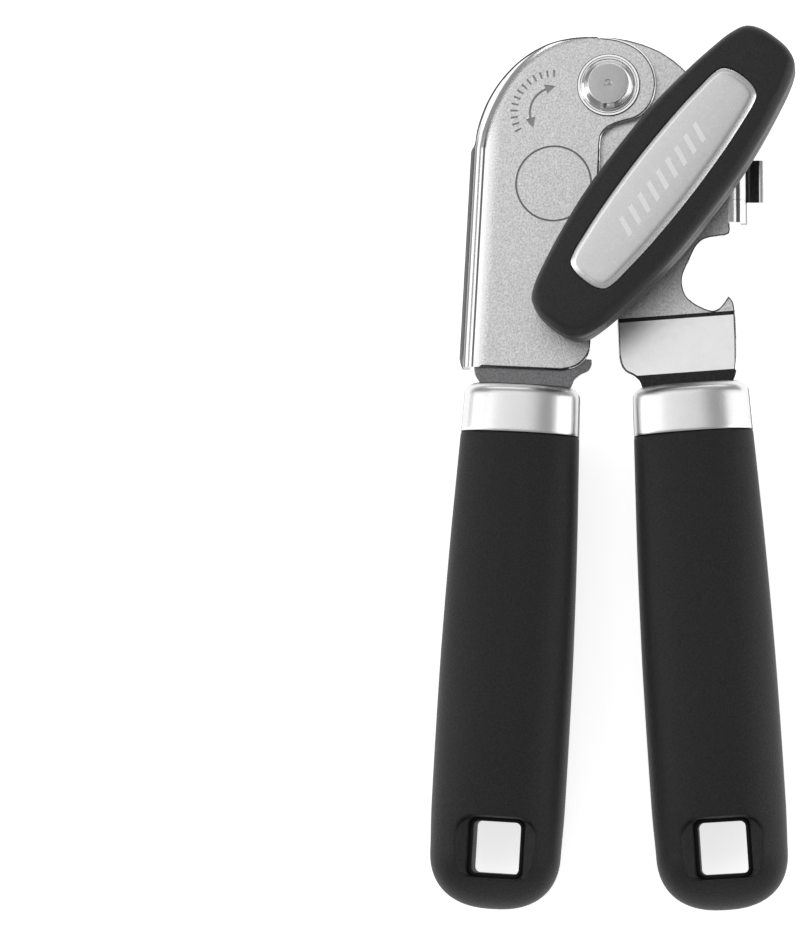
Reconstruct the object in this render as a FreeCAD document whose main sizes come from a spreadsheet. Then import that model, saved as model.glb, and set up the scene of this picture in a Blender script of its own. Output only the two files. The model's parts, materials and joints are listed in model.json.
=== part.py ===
import FreeCAD, Part
import math
import os
import re
import Sketcher

# Manual can opener, lying on its back on a table.
# +X to the right hand handle, +Y towards the head, +Z up out of the turning knob.
# Every piece is drawn about the handle pivot (pivot axis = Z, z = 0 at the middle
# of the handle tangs) and then placed with the shifts at the end of the sheet.

V = FreeCAD.Vector
doc = FreeCAD.newDocument("can_opener")
sheet = doc.addObject("Spreadsheet::Sheet", "Sheet")

SIZES = [
    # plates
    ("plate_thick", 1.5), ("front_back", 0.4), ("rear_back", -1.9), ("neck_back", -0.75),
    ("flange_back", -5.0), ("bend_rad", 3.9), ("guide_back", -7.5),
    # pivot rivet
    ("shank_rad", 3.5), ("rivet_gap", 0.05), ("dish_rad", 7.2), ("dish_thick", 0.4),
    ("rivet_flange_rad", 6.1), ("rivet_disc_rad", 4.55), ("rivet_flange_high", 0.55),
    ("rivet_head_high", 2.1), ("spacer_rad", 6.0), ("tail_washer_rad", 5.8),
    ("tail_washer_thick", 0.6), ("tail_rad", 4.6), ("tail_high", 1.1),
    # cutter stud and cutter stack
    ("cut_x", -11.18), ("cut_y", -23.04), ("stud_rad", 2.5), ("stud_spigot_rad", 2.0),
    ("stud_spigot_long", 0.9), ("stud_collar_rad", 4.0), ("stud_collar_back", -2.0),
    ("stud_head_rad", 4.8), ("stud_head_top", -9.3), ("stud_head_back", -10.6),
    ("bush_out_rad", 4.2), ("bush_collar_rad", 6.0), ("run_gap", 0.05),
    ("gear_front", -2.2), ("gear_back", -4.6),
    ("blade_rad", 13.2), ("blade_front", -8.05), ("blade_back", -9.2), ("blade_bevel", 2.1),
    ("boss_rad", 8.65), ("groove_wide", 0.35), ("groove_deep", 0.25),
    # drive stack
    ("drive_x", 12.8), ("drive_y", -24.7), ("shaft_rad", 3.0), ("square_side", 4.2),
    ("bushing_out_rad", 4.6), ("bushing_flange_rad", 6.6), ("bushing_flange_top", 0.6),
    ("bushing_barrel_rad", 5.0), ("bushing_top", 3.0), ("thrust_rad", 6.3),
    ("thrust_back", 3.05), ("thrust_front", 3.85), ("feed_rad", 10.6), ("feed_root", 9.9),
    ("feed_front", -5.0), ("feed_back", -7.6), ("feed_hub_rad", 5.2),
    ("retainer_rad", 4.4), ("retainer_back", -8.9), ("feed_teeth", 26),
    # gears
    ("gear_module", 1.5), ("drive_teeth", 15), ("cutter_teeth", 16), ("addendum", 1.3),
    ("dedendum", 1.75), ("backlash", 0.5),
    # knob
    ("knob_angle", 51.8), ("hub_rad", 5.6), ("hub_back", 3.9), ("knob_back", 7.5),
    ("knob_split", 14.2), ("knob_top", 20.6), ("knob_wall", 2.0), ("knob_round", 2.6),
    ("knob_low_round", 1.4), ("insert_deep", 1.0), ("insert_proud", 0.15), ("insert_gap", 0.12),
    ("screw_span", 24.0), ("screw_boss_rad", 3.2), ("screw_rad", 1.3), ("screw_head_rad", 2.4),
    ("screw_head_high", 1.5),
    # handles
    ("handle_left_x", -15.6), ("handle_right_x", 13.75), ("ferrule_half_wide", 13.3),
    ("ferrule_half_thick", 7.6), ("ferrule_top", -69.2), ("ferrule_low", -80.4),
    ("ferrule_wall", 0.8), ("grip_half_thick", 10.5), ("hole_shift", 0.5),
    ("hole_y", -173.4), ("hole_wide", 9.9), ("hole_long", 10.9), ("hole_lip", 1.35),
    ("scoop_wide", 17.9), ("scoop_long", 13.7), ("scoop_deep", 2.0), ("tang_pin_rad", 1.5),
    # placement of the whole opener: half of the opening angle and the shifts
    ("half_open", 3.5), ("shift_x", -0.63), ("shift_y", 87.29), ("shift_z", 10.6),
]
NAMES = {}
for row, (alias, value) in enumerate(SIZES, start=1):
    sheet.set("A%d" % row, alias)
    sheet.set("B%d" % row, repr(value))
    sheet.setAlias("B%d" % row, alias)
    NAMES[alias] = float(value)
doc.recompute()


def ref(expr):
    """Expression text with every sheet alias written as a reference to the sheet."""
    return re.sub(r"[a-z][a-z_0-9]*", lambda m: "Sheet." + m.group(0) if m.group(0) in NAMES else m.group(0), expr)


def num(expr):
    """Value of a sheet expression in millimetres or degrees."""
    if isinstance(expr, (int, float)):
        return float(expr)
    return float(sheet.evalExpression(ref(expr)))


def body(label):
    b = doc.addObject("PartDesign::Body", label)
    b.Label = label
    return b


def origin_plane(b, role):
    for f in b.Origin.OriginFeatures:
        if f.Role == role:
            return f
    raise RuntimeError("no origin plane " + role)


def sketch(b, name, role="XY_Plane", at="0"):
    """Sketch on one of the body's origin planes, moved along the plane's normal."""
    s = b.newObject("Sketcher::SketchObject", name)
    s.AttachmentSupport = (origin_plane(b, role), [""])
    s.MapMode = "FlatFace"
    if at != "0":
        s.AttachmentOffset = FreeCAD.Placement(V(0, 0, num(at)), FreeCAD.Rotation())
        s.setExpression("AttachmentOffset.Base.z", ref(at))
    return s


def circle(s, rad, cx="0", cy="0"):
    g = s.addGeometry(Part.Circle(V(num(cx), num(cy), 0), V(0, 0, 1), num(rad)), False)
    k = s.addConstraint(Sketcher.Constraint("Radius", g, num(rad)))
    s.setExpression("Constraints[%d]" % k, ref(rad))
    for word, expr, axis in (("DistanceX", cx, -2), ("DistanceY", cy, -1)):
        if num(expr) == 0:
            s.addConstraint(Sketcher.Constraint("PointOnObject", g, 3, axis))
        else:
            k = s.addConstraint(Sketcher.Constraint(word, -1, 1, g, 3, num(expr)))
            s.setExpression("Constraints[%d]" % k, ref(expr))
    return g


def profile(s, corners):
    """Closed straight-sided profile whose corners are all dimensioned from the sheet."""
    n = len(corners)
    pts = [(num(a), num(b)) for a, b in corners]
    ids = [s.addGeometry(Part.LineSegment(V(*pts[i], 0), V(*pts[(i + 1) % n], 0)), False) for i in range(n)]
    for i in range(n):
        s.addConstraint(Sketcher.Constraint("Coincident", ids[i], 2, ids[(i + 1) % n], 1))
    for i, (a, b) in enumerate(corners):
        for word, expr, axis in (("DistanceX", a, -2), ("DistanceY", b, -1)):
            if abs(num(expr)) < 1e-9:
                s.addConstraint(Sketcher.Constraint("PointOnObject", ids[i], 1, axis))
            else:
                k = s.addConstraint(Sketcher.Constraint(word, -1, 1, ids[i], 1, num(expr)))
                s.setExpression("Constraints[%d]" % k, ref(str(expr)))


def outline(s, runs):
    """Closed outline of straight runs ("L") and smooth runs ("S") that share end points."""
    for kind, pts in runs:
        vs = [V(x, y, 0) for x, y in pts]
        if kind == "S" and len(vs) > 2:
            c = Part.BSplineCurve()
            c.interpolate(vs)
            s.addGeometry(c, False)
        else:
            for a, b in zip(vs, vs[1:]):
                s.addGeometry(Part.LineSegment(a, b), False)


def ring_curve(s, pts):
    c = Part.BSplineCurve()
    c.interpolate([V(x, y, 0) for x, y in pts], PeriodicFlag=True)
    s.addGeometry(c, False)


def pad(b, s, name, length, reverse=False, midplane=False):
    f = b.newObject("PartDesign::Pad", name)
    f.Profile = s
    f.Length = num(length)
    f.setExpression("Length", ref(length))
    f.Reversed = reverse
    f.Midplane = midplane
    return f


def pocket(b, s, name, length, reverse=False, midplane=False):
    """Pocket that must remove material."""
    doc.recompute()
    before = b.Shape.Volume
    f = b.newObject("PartDesign::Pocket", name)
    f.Profile = s
    f.Length = num(length)
    f.setExpression("Length", ref(length))
    f.Reversed = reverse
    f.Midplane = midplane
    doc.recompute()
    if b.Shape.Volume > before - 1e-6:
        raise RuntimeError("%s of %s cuts nothing" % (name, b.Label))
    return f


def turned(label, corners):
    """Body of revolution about Z from a radius/height profile."""
    b = body(label)
    s = sketch(b, label + "_profile", "XZ_Plane")
    profile(s, corners)
    f = b.newObject("PartDesign::Revolution", label + "_turn")
    f.Profile = s
    f.ReferenceAxis = (s, ["V_Axis"])
    f.Angle = 360
    doc.recompute()
    return b


def feature(label, shape):
    f = doc.addObject("Part::Feature", label)
    f.Label = label
    f.Shape = shape
    return f


def cut(label, base, tool):
    f = doc.addObject("Part::Cut", label)
    f.Label = label
    f.Base = base
    f.Tool = tool
    return f


def fuse(label, parts):
    f = doc.addObject("Part::MultiFuse", label)
    f.Label = label
    f.Shapes = parts
    f.Refine = True
    return f


# ---------------------------------------------------------------- placements
Z = V(0, 0, 1)


def turn_z(x, y, deg):
    a = math.radians(deg)
    return x * math.cos(a) - y * math.sin(a), x * math.sin(a) + y * math.cos(a)


SHIFT = V(num("shift_x"), num("shift_y"), num("shift_z"))
LEFT = FreeCAD.Placement(SHIFT, FreeCAD.Rotation(Z, -num("half_open")))
RIGHT = FreeCAD.Placement(SHIFT, FreeCAD.Rotation(Z, num("half_open")))
cx, cy = turn_z(num("cut_x"), num("cut_y"), -num("half_open"))
kx, ky = num("drive_x"), num("drive_y")
# teeth are set for the closed handles, where the gears mesh at full depth
close_deg = 5.0
ccx, ccy = turn_z(cx, cy, close_deg)
mesh_closed = math.degrees(math.atan2(ccy - ky, ccx - kx))
CUTTER = FreeCAD.Placement(SHIFT + V(cx, cy, 0), FreeCAD.Rotation(Z, mesh_closed + 180 - close_deg))
KNOB = FreeCAD.Placement(SHIFT + V(kx, ky, 0), FreeCAD.Rotation(Z, num("knob_angle")))
kl = turn_z(kx, ky, -num("half_open"))       # key shaft in the right handle's own frame
NODES = []


def node(obj, place):
    doc.recompute()
    obj.Placement = place
    NODES.append(obj)
    return obj


# ---------------------------------------------------------------- handles
def section(y, half_wide, half_thick, x0=0.0, power=2.5, count=20):
    """Closed smooth section across a handle, a superellipse in the XZ plane."""
    pts = []
    for i in range(count):
        a = 2 * math.pi * i / count
        c, q = math.cos(a), math.sin(a)
        pts.append(V(x0 + half_wide * math.copysign(abs(c) ** (2 / power), c), y,
                     half_thick * math.copysign(abs(q) ** (2 / power), q)))
    c = Part.BSplineCurve()
    c.interpolate(pts, PeriodicFlag=True)
    return Part.Wire([c.toShape()])


def loft(rows, x0, power=2.5):
    return Part.makeLoft([section(y, w, h, x0, power) for y, w, h in rows], True, False)


def round_box(x, y, wide, long, z0, z1, r):
    b = Part.makeBox(wide, long, z1 - z0, V(x - wide / 2, y - long / 2, z0))
    up = [e for e in b.Edges if e.BoundBox.ZLength > abs(z1 - z0) - 1e-6]
    return b.makeFillet(r, up)


FW, FT, FWALL = num("ferrule_half_wide"), num("ferrule_half_thick"), num("ferrule_wall")
FTOP, FLOW = num("ferrule_top"), num("ferrule_low")
GT = num("grip_half_thick")
FERRULE_ROWS = [(FTOP, FW - 0.25, FT - 0.1), (FLOW, FW + 0.1, FT + 0.05)]
PLUG_ROWS = [(FTOP - FWALL, FW - 0.25 - FWALL, FT - 0.1 - FWALL), (FLOW, FW + 0.1 - FWALL, FT + 0.05 - FWALL)]
GRIP_ROWS = [(FLOW, 13.5, 7.8), (-92.0, 13.95, 8.2), (-104.0, 14.4, 8.7), (-119.0, 14.8, 9.4), (-135.0, 15.05, GT - 0.4),
             (-150.0, 15.1, GT), (-164.0, 15.05, GT - 0.1), (-174.0, 14.75, GT - 0.9), (-179.8, 13.75, GT - 2.1),
             (-183.6, 11.6, GT - 4.0), (-186.0, 8.3, GT - 6.2), (-187.2, 4.2, GT - 8.4)]
CORE_ROWS = [(FLOW + 0.5, 9.5, 5.2), (-92.0, 9.55, 5.25), (-104.0, 9.6, 5.35), (-119.0, 9.8, 5.6), (-135.0, 10.0, 5.9),
             (-150.0, 10.1, 6.2), (-164.0, 10.1, 6.4), (-174.0, 9.9, 6.1), (-179.0, 9.2, 5.2), (-182.5, 8.0, 4.0)]


def spread(rows, ys):
    """Values of a table of rows at given stations, by a monotone cubic through the rows."""
    rows = sorted(rows)
    xs = [r[0] for r in rows]
    out = [[y] for y in ys]
    for c in (1, 2):
        v = [r[c] for r in rows]
        n = len(v)
        h = [xs[i + 1] - xs[i] for i in range(n - 1)]
        d = [(v[i + 1] - v[i]) / h[i] for i in range(n - 1)]
        m = [d[0]] + [0.0 if d[i - 1] * d[i] <= 0 else 2 * d[i - 1] * d[i] / (d[i - 1] + d[i]) for i in range(1, n - 1)] + [d[-1]]
        for o, y in zip(out, ys):
            i = max(0, min(n - 2, sum(1 for x in xs[1:-1] if y >= x)))
            q = (y - xs[i]) / h[i]
            o.append((2 * q ** 3 - 3 * q ** 2 + 1) * v[i] + (q ** 3 - 2 * q ** 2 + q) * h[i] * m[i]
                     + (3 * q ** 2 - 2 * q ** 3) * v[i + 1] + (q ** 3 - q ** 2) * h[i] * m[i + 1])
    return [tuple(o) for o in out]


def long_loft(rows, x0, ys):
    return Part.makeLoft([section(y, w, h, x0) for y, w, h in spread(rows, ys)], True, True)


def shouldered(rows, x0, rad):
    """Tapered oval tube blank with its upper edge rounded."""
    solid = loft(rows, x0)
    y = rows[0][0]
    edge = [e for e in solid.Edges if abs(e.BoundBox.YMin - y) < 1e-3 and abs(e.BoundBox.YMax - y) < 1e-3]
    return solid.makeFillet(rad, edge)


GRIP_YS = [FLOW - 5.2 * i for i in range(17)] + [-167.5, -170.5, -173.5, -176.3, -178.8, -180.9, -182.6, -184.0, -185.2, -186.1, -186.8, -187.2]
CORE_YS = [FLOW + 0.5 - 10.2 * i for i in range(10)] + [-179.0, -181.0, -182.5]


def handle(side, x0, tang, place):
    """Core, sleeve, ferrule and pins round the tang of one plate."""
    hx, hy = x0 + num("hole_shift"), num("hole_y")
    w, l, lip = num("hole_wide"), num("hole_long"), num("hole_lip")
    hole = round_box(hx, hy, w, l, -20, 20, 0.9)
    plug = shouldered(PLUG_ROWS, x0, 1.9)
    lip_z = GT - num("scoop_deep") - 0.35
    core = plug.fuse([long_loft(CORE_ROWS, x0, CORE_YS), round_box(hx, hy, w + 2 * lip, l + 2 * lip, -lip_z, lip_z, 1.9)])
    core = core.cut([tang, hole])
    pins = []
    for y in (-90.0, -108.0):
        pin = Part.makeCylinder(num("tang_pin_rad"), 9.0, V(x0, y, -4.5), V(0, 0, 1))
        pins.append(pin)
    core = core.cut(pins)
    scoops = [round_box(hx, hy, num("scoop_wide"), num("scoop_long"), z0, z1, 4.0)
              for z0, z1 in ((GT - num("scoop_deep") - 0.75, 20), (-20, -(GT - num("scoop_deep") - 0.75)))]
    outer = long_loft(GRIP_ROWS, x0, GRIP_YS)
    grip = outer.cut([core, hole, tang] + pins + scoops)
    shell = shouldered(FERRULE_ROWS, x0, 2.6).cut([plug, tang])
    node(feature(side + "_core", core), place)
    node(feature(side + "_grip", grip), place)
    node(feature(side + "_ferrule", shell), place)
    node(feature(side + "_tang_pins", Part.makeCompound(pins)), place)
    return pins


# ---------------------------------------------------------------- front plate (left handle)
# die-cut outline of the head, in the left handle's own frame
LEFT_EDGE = [(-29.75, -65.6), (-29.95, -15.6)]
TOP_ARC = [(-29.95, -15.6), (-29.75, -11.2), (-28.35, -6.1), (-26.3, -1.9), (-23.4, 2.1), (-19.5, 5.9),
           (-14.7, 8.85), (-9.5, 10.45), (-3.1, 11.0), (2.5, 10.35), (7.0, 8.1), (9.9, 4.3), (10.75, 0.0),
           (9.7, -4.2), (7.0, -7.1), (3.2, -8.5), (0.4, -9.9), (-0.85, -11.6), (-1.05, -13.6)]
RIGHT_EDGE = [(-1.05, -13.6), (-0.5, -57.0)]
CORNER = [(-0.5, -57.0), (-0.62, -60.4), (-1.85, -62.9), (-4.1, -64.7), (-7.0, -65.5)]
LOW_EDGE = [(-7.0, -65.5), (-29.75, -65.6)]
T = num("plate_thick")

block = body("front_block")
s = sketch(block, "front_outline", "XY_Plane", "flange_back")
outline(s, [("L", LEFT_EDGE), ("S", TOP_ARC), ("L", RIGHT_EDGE), ("S", CORNER), ("L", LOW_EDGE)])
pad(block, s, "front_block_pad", "front_back+plate_thick-flange_back")
doc.recompute()


def top_left_edge(shape, z):
    for e in shape.Edges:
        bb = e.BoundBox
        if abs(bb.ZMin - z) < 1e-6 and abs(bb.ZMax - z) < 1e-6 and bb.XMax < -25 and bb.YLength > 40:
            return e
    raise RuntimeError("no edge to roll")


# rolled outside face, then the same roll one sheet thickness inside
rolled = block.Shape.makeFillet(num("bend_rad"), [top_left_edge(block.Shape, num("front_back") + T)])
inside = []
for i, (x, y) in enumerate(TOP_ARC[:9]):
    x0, y0 = TOP_ARC[max(i - 1, 0)]
    x1, y1 = TOP_ARC[i + 1]
    d = math.hypot(x1 - x0, y1 - y0)
    nx, ny = (1.0, 0.0) if i == 0 else ((y1 - y0) / d, -(x1 - x0) / d)
    inside.append(V(x + nx * T, y + ny * T, 0))
inside += [V(8.0, 12.0, 0), V(24.0, 11.0, 0)]
sp = Part.BSplineCurve()
sp.interpolate(inside)
low = V(LEFT_EDGE[0][0] + T, -80, 0)
wire = Part.Wire([Part.LineSegment(low, inside[0]).toShape(), sp.toShape(),
                  Part.LineSegment(inside[-1], V(24, -80, 0)).toShape(), Part.LineSegment(V(24, -80, 0), low).toShape()])
inner_block = Part.Face(wire).extrude(V(0, 0, num("front_back-flange_back") + 5))
inner_block.translate(V(0, 0, num("flange_back") - 5))
inner_block = inner_block.makeFillet(num("bend_rad-plate_thick"), [top_left_edge(inner_block, num("front_back"))])
# the flange runs out to nothing towards the top of the head
run_out = Part.Face(Part.makePolygon([V(-31, -15.6, -20), V(-31, -15.6, num("flange_back")), V(-29.0, -15.6, num("flange_back")),
                                      V(-10.5, -15.6, num("front_back")), V(30, -15.6, num("front_back")), V(30, -15.6, -20),
                                      V(-31, -15.6, -20)])).extrude(V(0, 40, 0))
# lip turned outwards along the back of the flange
lip = Part.makeBox(1.9, 47.6, 0.8, V(-30.75, -63.9, num("flange_back")))
front_head = feature("front_head", rolled.cut([inner_block, run_out]).fuse(lip))

neck = body("front_neck")
s = sketch(neck, "front_neck_outline", "XY_Plane", "neck_back")
outline(s, [("L", [(-0.4, -62.5), (-26.3, -62.5)]),
            ("S", [(-26.3, -62.5), (-26.9, -65.0), (-26.5, -67.4), (-25.2, -69.2)]),
            ("L", [(-25.2, -69.2), (-25.2, -79.5), (-22.6, -82), (-22.6, -118), (-8.6, -118), (-8.6, -82), (-4.95, -79.5), (-4.95, -69.5)]),
            ("S", [(-4.95, -69.5), (-4.45, -68.5), (-4.1, -67.4), (-2.8, -66.1), (-0.9, -65.0), (-0.3, -63.6)]),
            ("L", [(-0.3, -63.6), (-0.4, -62.5)])])
pad(neck, s, "front_neck_pad", "plate_thick")
doc.recompute()


def cylinder(name, rad, z0, z1, x=0.0, y=0.0):
    c = doc.addObject("Part::Cylinder", name)
    c.Radius = num(rad)
    c.setExpression("Radius", ref(rad))
    c.Height = num("(%s)-(%s)" % (z1, z0))
    c.setExpression("Height", ref("(%s)-(%s)" % (z1, z0)))
    c.Placement = FreeCAD.Placement(V(x, y, num(z0)), FreeCAD.Rotation())
    return c


fx, fy = num("cut_x"), num("cut_y")
top = num("front_back") + T
bore = cylinder("front_pivot_bore", "shank_rad+rivet_gap", "front_back-1", "front_back+plate_thick+1")
spot = cylinder("front_stud_spot", "stud_spigot_rad", "front_back-0.5", "front_back+stud_spigot_long", fx, fy)
GROOVE = [Part.makeCylinder(num("boss_rad") + g, 1.0, V(fx, fy, top - num("groove_deep")), V(0, 0, 1)) for g in (0, -num("groove_wide"))]
groove = feature("boss_groove", GROOVE[0].cut(GROOVE[1]))


def arc_band(x, y, r, half, a0, a1, z0, z1):
    def at(rr, a):
        return V(x + rr * math.cos(math.radians(a)), y + rr * math.sin(math.radians(a)), z0)
    mid = (a0 + a1) / 2
    w = Part.Wire([Part.Arc(at(r + half, a0), at(r + half, mid), at(r + half, a1)).toShape(),
                   Part.LineSegment(at(r + half, a1), at(r - half, a1)).toShape(),
                   Part.Arc(at(r - half, a1), at(r - half, mid), at(r - half, a0)).toShape(),
                   Part.LineSegment(at(r - half, a0), at(r + half, a0)).toShape()])
    return Part.Face(w).extrude(V(0, 0, z1 - z0))


def arrow_head(x, y, r, a, way, z0, z1):
    ca, sa = math.cos(math.radians(a)), math.sin(math.radians(a))
    tx, ty = -sa * way, ca * way
    c = V(x + r * ca, y + r * sa, z0)
    p = [c + V(tx * 2.1, ty * 2.1, 0), c + V(ca * 1.15, sa * 1.15, 0), c - V(ca * 1.15, sa * 1.15, 0)]
    return Part.Face(Part.makePolygon(p + [p[0]])).extrude(V(0, 0, z1 - z0))


# turning arrow and a row of plain ticks pressed into the head
AX, AY, AR = -11.8, -6.75, 5.7
z0, z1 = top - 0.18, top + 1
marks = [arc_band(AX, AY, AR, 0.27, 112, 199, z0, z1), arrow_head(AX, AY, AR, 112, -1, z0, z1), arrow_head(AX, AY, AR, 199, 1, z0, z1)]
for k in range(13):
    a = 92 + k * 9.8
    marks.append(arc_band(AX - 0.4, AY, 8.9, 0.75, a - 1.3, a + 1.3, z0, z1))
marks = feature("turning_marks", Part.makeCompound(marks))
pin_holes = [cylinder("left_pin_hole_%d" % i, "tang_pin_rad", "-5", "5", num("handle_left_x"), y) for i, y in enumerate((-90.0, -108.0))]
front_solid = fuse("front_sheet", [front_head, neck])
doc.recompute()
front_tools = doc.addObject("Part::Compound", "front_tools")
front_tools.Links = [bore, spot, groove, marks] + pin_holes
front_plate = node(cut("front_plate", front_solid, front_tools), LEFT)
left_tang = front_solid.Shape.common(Part.makeBox(60, 60, 20, V(-50, -125, -10)))
handle("left", num("handle_left_x"), left_tang, LEFT)

# ---------------------------------------------------------------- rear plate (right handle)
rear = body("rear_sheet")
s = sketch(rear, "rear_side_view", "YZ_Plane")
profile(s, [("30", "rear_back"), ("30", "rear_back+plate_thick"), ("-53.6", "rear_back+plate_thick"),
            ("-66", "neck_back+plate_thick"), ("-130", "neck_back+plate_thick"), ("-130", "neck_back"),
            ("-66.2", "neck_back"), ("-53.8", "rear_back")])
pad(rear, s, "rear_strip", "120", midplane=True)
s = sketch(rear, "rear_outline", "XY_Plane")
outline(s, [("L", [(-70, 40), (70, 40), (70, -140), (-70, -140), (-70, 40)])])
outline(s, [("S", [(-10.3, -1.0), (-10.4, 3.5), (-8.0, 8.2), (-4.2, 10.9), (-1.0, 11.7), (5.6, 10.35), (11.55, 7.7),
                   (14.4, 5.6), (17.6, 2.4), (21.5, -4.3), (23.9, -11.8), (24.5, -16.5)]),
            ("L", [(24.5, -16.5), (25.0, -27.0), (25.1, -33.0)]),
            ("S", [(25.1, -33.0), (25.3, -34.6), (24.9, -35.7), (23.8, -36.1)]),
            ("L", [(23.8, -36.1), (20.6, -36.25)]),
            ("S", [(20.6, -36.25), (18.9, -36.7), (17.35, -38.0), (15.75, -40.75), (14.5, -43.05), (13.8, -45.0),
                   (13.75, -47.0), (14.4, -49.0), (15.85, -50.55), (17.4, -51.6), (18.9, -52.35), (20.15, -52.7),
                   (21.15, -52.35), (22.15, -51.5), (23.0, -50.4), (23.7, -49.6)]),
            ("S", [(23.7, -49.6), (24.45, -50.4), (24.95, -51.7), (25.0, -54.6)]),
            ("L", [(25.0, -54.6), (24.9, -59.4), (24.6, -64.6)]),
            ("S", [(24.6, -64.6), (24.25, -67.15), (23.5, -68.9), (22.3, -69.9)]),
            ("L", [(22.3, -69.9), (22.2, -79.5), (20.8, -82), (20.8, -118), (6.8, -118), (6.8, -82), (3.8, -79.5), (3.8, -70.4)]),
            ("S", [(3.8, -70.4), (3.05, -69.4), (2.4, -67.5), (1.15, -66.4), (-0.6, -65.3), (-1.5, -63.7), (-1.9, -61.3)]),
            ("L", [(-1.9, -61.3), (-1.75, -52.7)]),
            ("S", [(-1.75, -52.7), (-2.3, -44.2), (-4.6, -32.5), (-5.4, -23.3), (-5.4, -14.1), (-7.6, -7.0), (-10.3, -1.0)])])
pocket(rear, s, "rear_blanking", "60", midplane=True)
doc.recompute()

# can guide: flange bent back along the right edge, its outer part turned out over the can wall
gx1, gz1 = 29.45, num("rear_back") + T
g = Part.makeBox(9.0, 14.8, gz1 - num("guide_back"), V(gx1 - 9.0, -33.2, num("guide_back")))
g = g.makeFillet(4.2, [e for e in g.Edges if e.BoundBox.XMin > gx1 - 1e-6 and e.BoundBox.ZMin > gz1 - 1e-6])
gi = Part.makeBox(20.0, 20.0, 20.0, V(gx1 - T - 20, -36, gz1 - T - 20))
gi = gi.makeFillet(4.2 - T, [e for e in gi.Edges if e.BoundBox.XMin > gx1 - T - 1e-6 and e.BoundBox.ZMin > gz1 - T - 1e-6])
guide = g.cut(gi)
tab = Part.makeBox(3.9 + T, 9.7, T, V(gx1 - T, -28.1, num("guide_back")))
guide = guide.fuse(tab)
guide.rotate(V(gx1, -25.8, 0), Z, -num("half_open"))
guide = feature("can_guide", guide)
rear_solid = fuse("rear_blank", [rear, guide])
rear_bore = cylinder("rear_pivot_bore", "shank_rad", "rear_back-1", "rear_back+plate_thick+1")
shaft_bore = cylinder("rear_shaft_bore", "bushing_out_rad", "rear_back-1", "rear_back+plate_thick+1", kl[0], kl[1])
pin_holes = [cylinder("right_pin_hole_%d" % i, "tang_pin_rad", "-5", "5", num("handle_right_x"), y) for i, y in enumerate((-90.0, -108.0))]
rear_tools = doc.addObject("Part::Compound", "rear_tools")
rear_tools.Links = [rear_bore, shaft_bore] + pin_holes
rear_plate = node(cut("rear_plate", rear_solid, rear_tools), RIGHT)
right_tang = rear_solid.Shape.common(Part.makeBox(60, 60, 20, V(-20, -125, -10)))
handle("right", num("handle_right_x"), right_tang, RIGHT)

# ---------------------------------------------------------------- pivot
FT_ = "front_back+plate_thick"
node(turned("pivot_rivet", [
    ("0", "rear_back-tail_washer_thick-tail_high"), ("tail_rad-0.7", "rear_back-tail_washer_thick-tail_high"),
    ("tail_rad", "rear_back-tail_washer_thick-0.5"), ("tail_rad", "rear_back-tail_washer_thick"),
    ("shank_rad", "rear_back-tail_washer_thick"), ("shank_rad", FT_ + "+rivet_gap+dish_thick"),
    ("rivet_flange_rad", FT_ + "+rivet_gap+dish_thick"), ("rivet_flange_rad", FT_ + "+rivet_gap+dish_thick+rivet_flange_high"),
    ("rivet_disc_rad", FT_ + "+rivet_gap+dish_thick+rivet_head_high"), ("0", FT_ + "+rivet_gap+dish_thick+rivet_head_high")]), RIGHT)
node(turned("pivot_dish_washer", [
    ("shank_rad", FT_ + "+rivet_gap"), ("dish_rad-0.3", FT_ + "+rivet_gap"), ("dish_rad", FT_ + "+rivet_gap+0.25"),
    ("dish_rad", FT_ + "+rivet_gap+dish_thick"), ("shank_rad", FT_ + "+rivet_gap+dish_thick")]), RIGHT)
node(turned("pivot_spacer", [
    ("shank_rad", "rear_back+plate_thick"), ("spacer_rad", "rear_back+plate_thick"),
    ("spacer_rad", "front_back-rivet_gap"), ("shank_rad", "front_back-rivet_gap")]), RIGHT)
node(turned("pivot_tail_washer", [
    ("shank_rad", "rear_back-tail_washer_thick"), ("tail_washer_rad", "rear_back-tail_washer_thick"),
    ("tail_washer_rad", "rear_back"), ("shank_rad", "rear_back")]), RIGHT)


# ---------------------------------------------------------------- gears
def gear_points(teeth, phase, turn=0.0):
    """Involute outline with stub teeth; phase 0 puts a tooth at the turn angle, 1 a gap."""
    m = num("gear_module")
    rp = m * teeth / 2
    rb = rp * math.cos(math.radians(20))
    ra, rr = rp + num("addendum"), rp - num("dedendum")
    half = (math.pi * m / 2 - num("backlash") / 2) / 2 / rp
    inv = math.tan(math.radians(20)) - math.radians(20)

    def width(r):
        if r <= rb:
            return half + inv
        a = math.acos(rb / r)
        return half + inv - (math.tan(a) - a)
    pts = []
    step = 2 * math.pi / teeth
    for k in range(teeth):
        c = k * step + (step / 2 if phase else 0) + math.radians(turn)
        up = [(rr, width(rb) + 0.02)] + [(r, width(r)) for r in (max(rb, rr + 0.3), rp - 0.3, rp + 0.35, rp + 0.85, ra)]
        for r, w in up:
            pts.append((r * math.cos(c - w), r * math.sin(c - w)))
        for r, w in reversed(up):
            pts.append((r * math.cos(c + w), r * math.sin(c + w)))
    return pts


def square_points(side):
    q = side / 2
    return [(q, q), (-q, q), (-q, -q), (q, -q)]


def ring_of(pts):
    return [("L", pts + [pts[0]])]


def square(s):
    h2 = "square_side/2"
    profile(s, [(h2, h2), ("-" + h2, h2), ("-" + h2, "-" + h2), (h2, "-" + h2)])


drive_gear = body("drive_gear")
s = sketch(drive_gear, "drive_gear_teeth", "XY_Plane", "gear_back")
outline(s, ring_of(gear_points(int(num("drive_teeth")), 0, mesh_closed - num("knob_angle"))))
square(s)
pad(drive_gear, s, "drive_gear_pad", "gear_front-gear_back")
node(drive_gear, KNOB)

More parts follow.
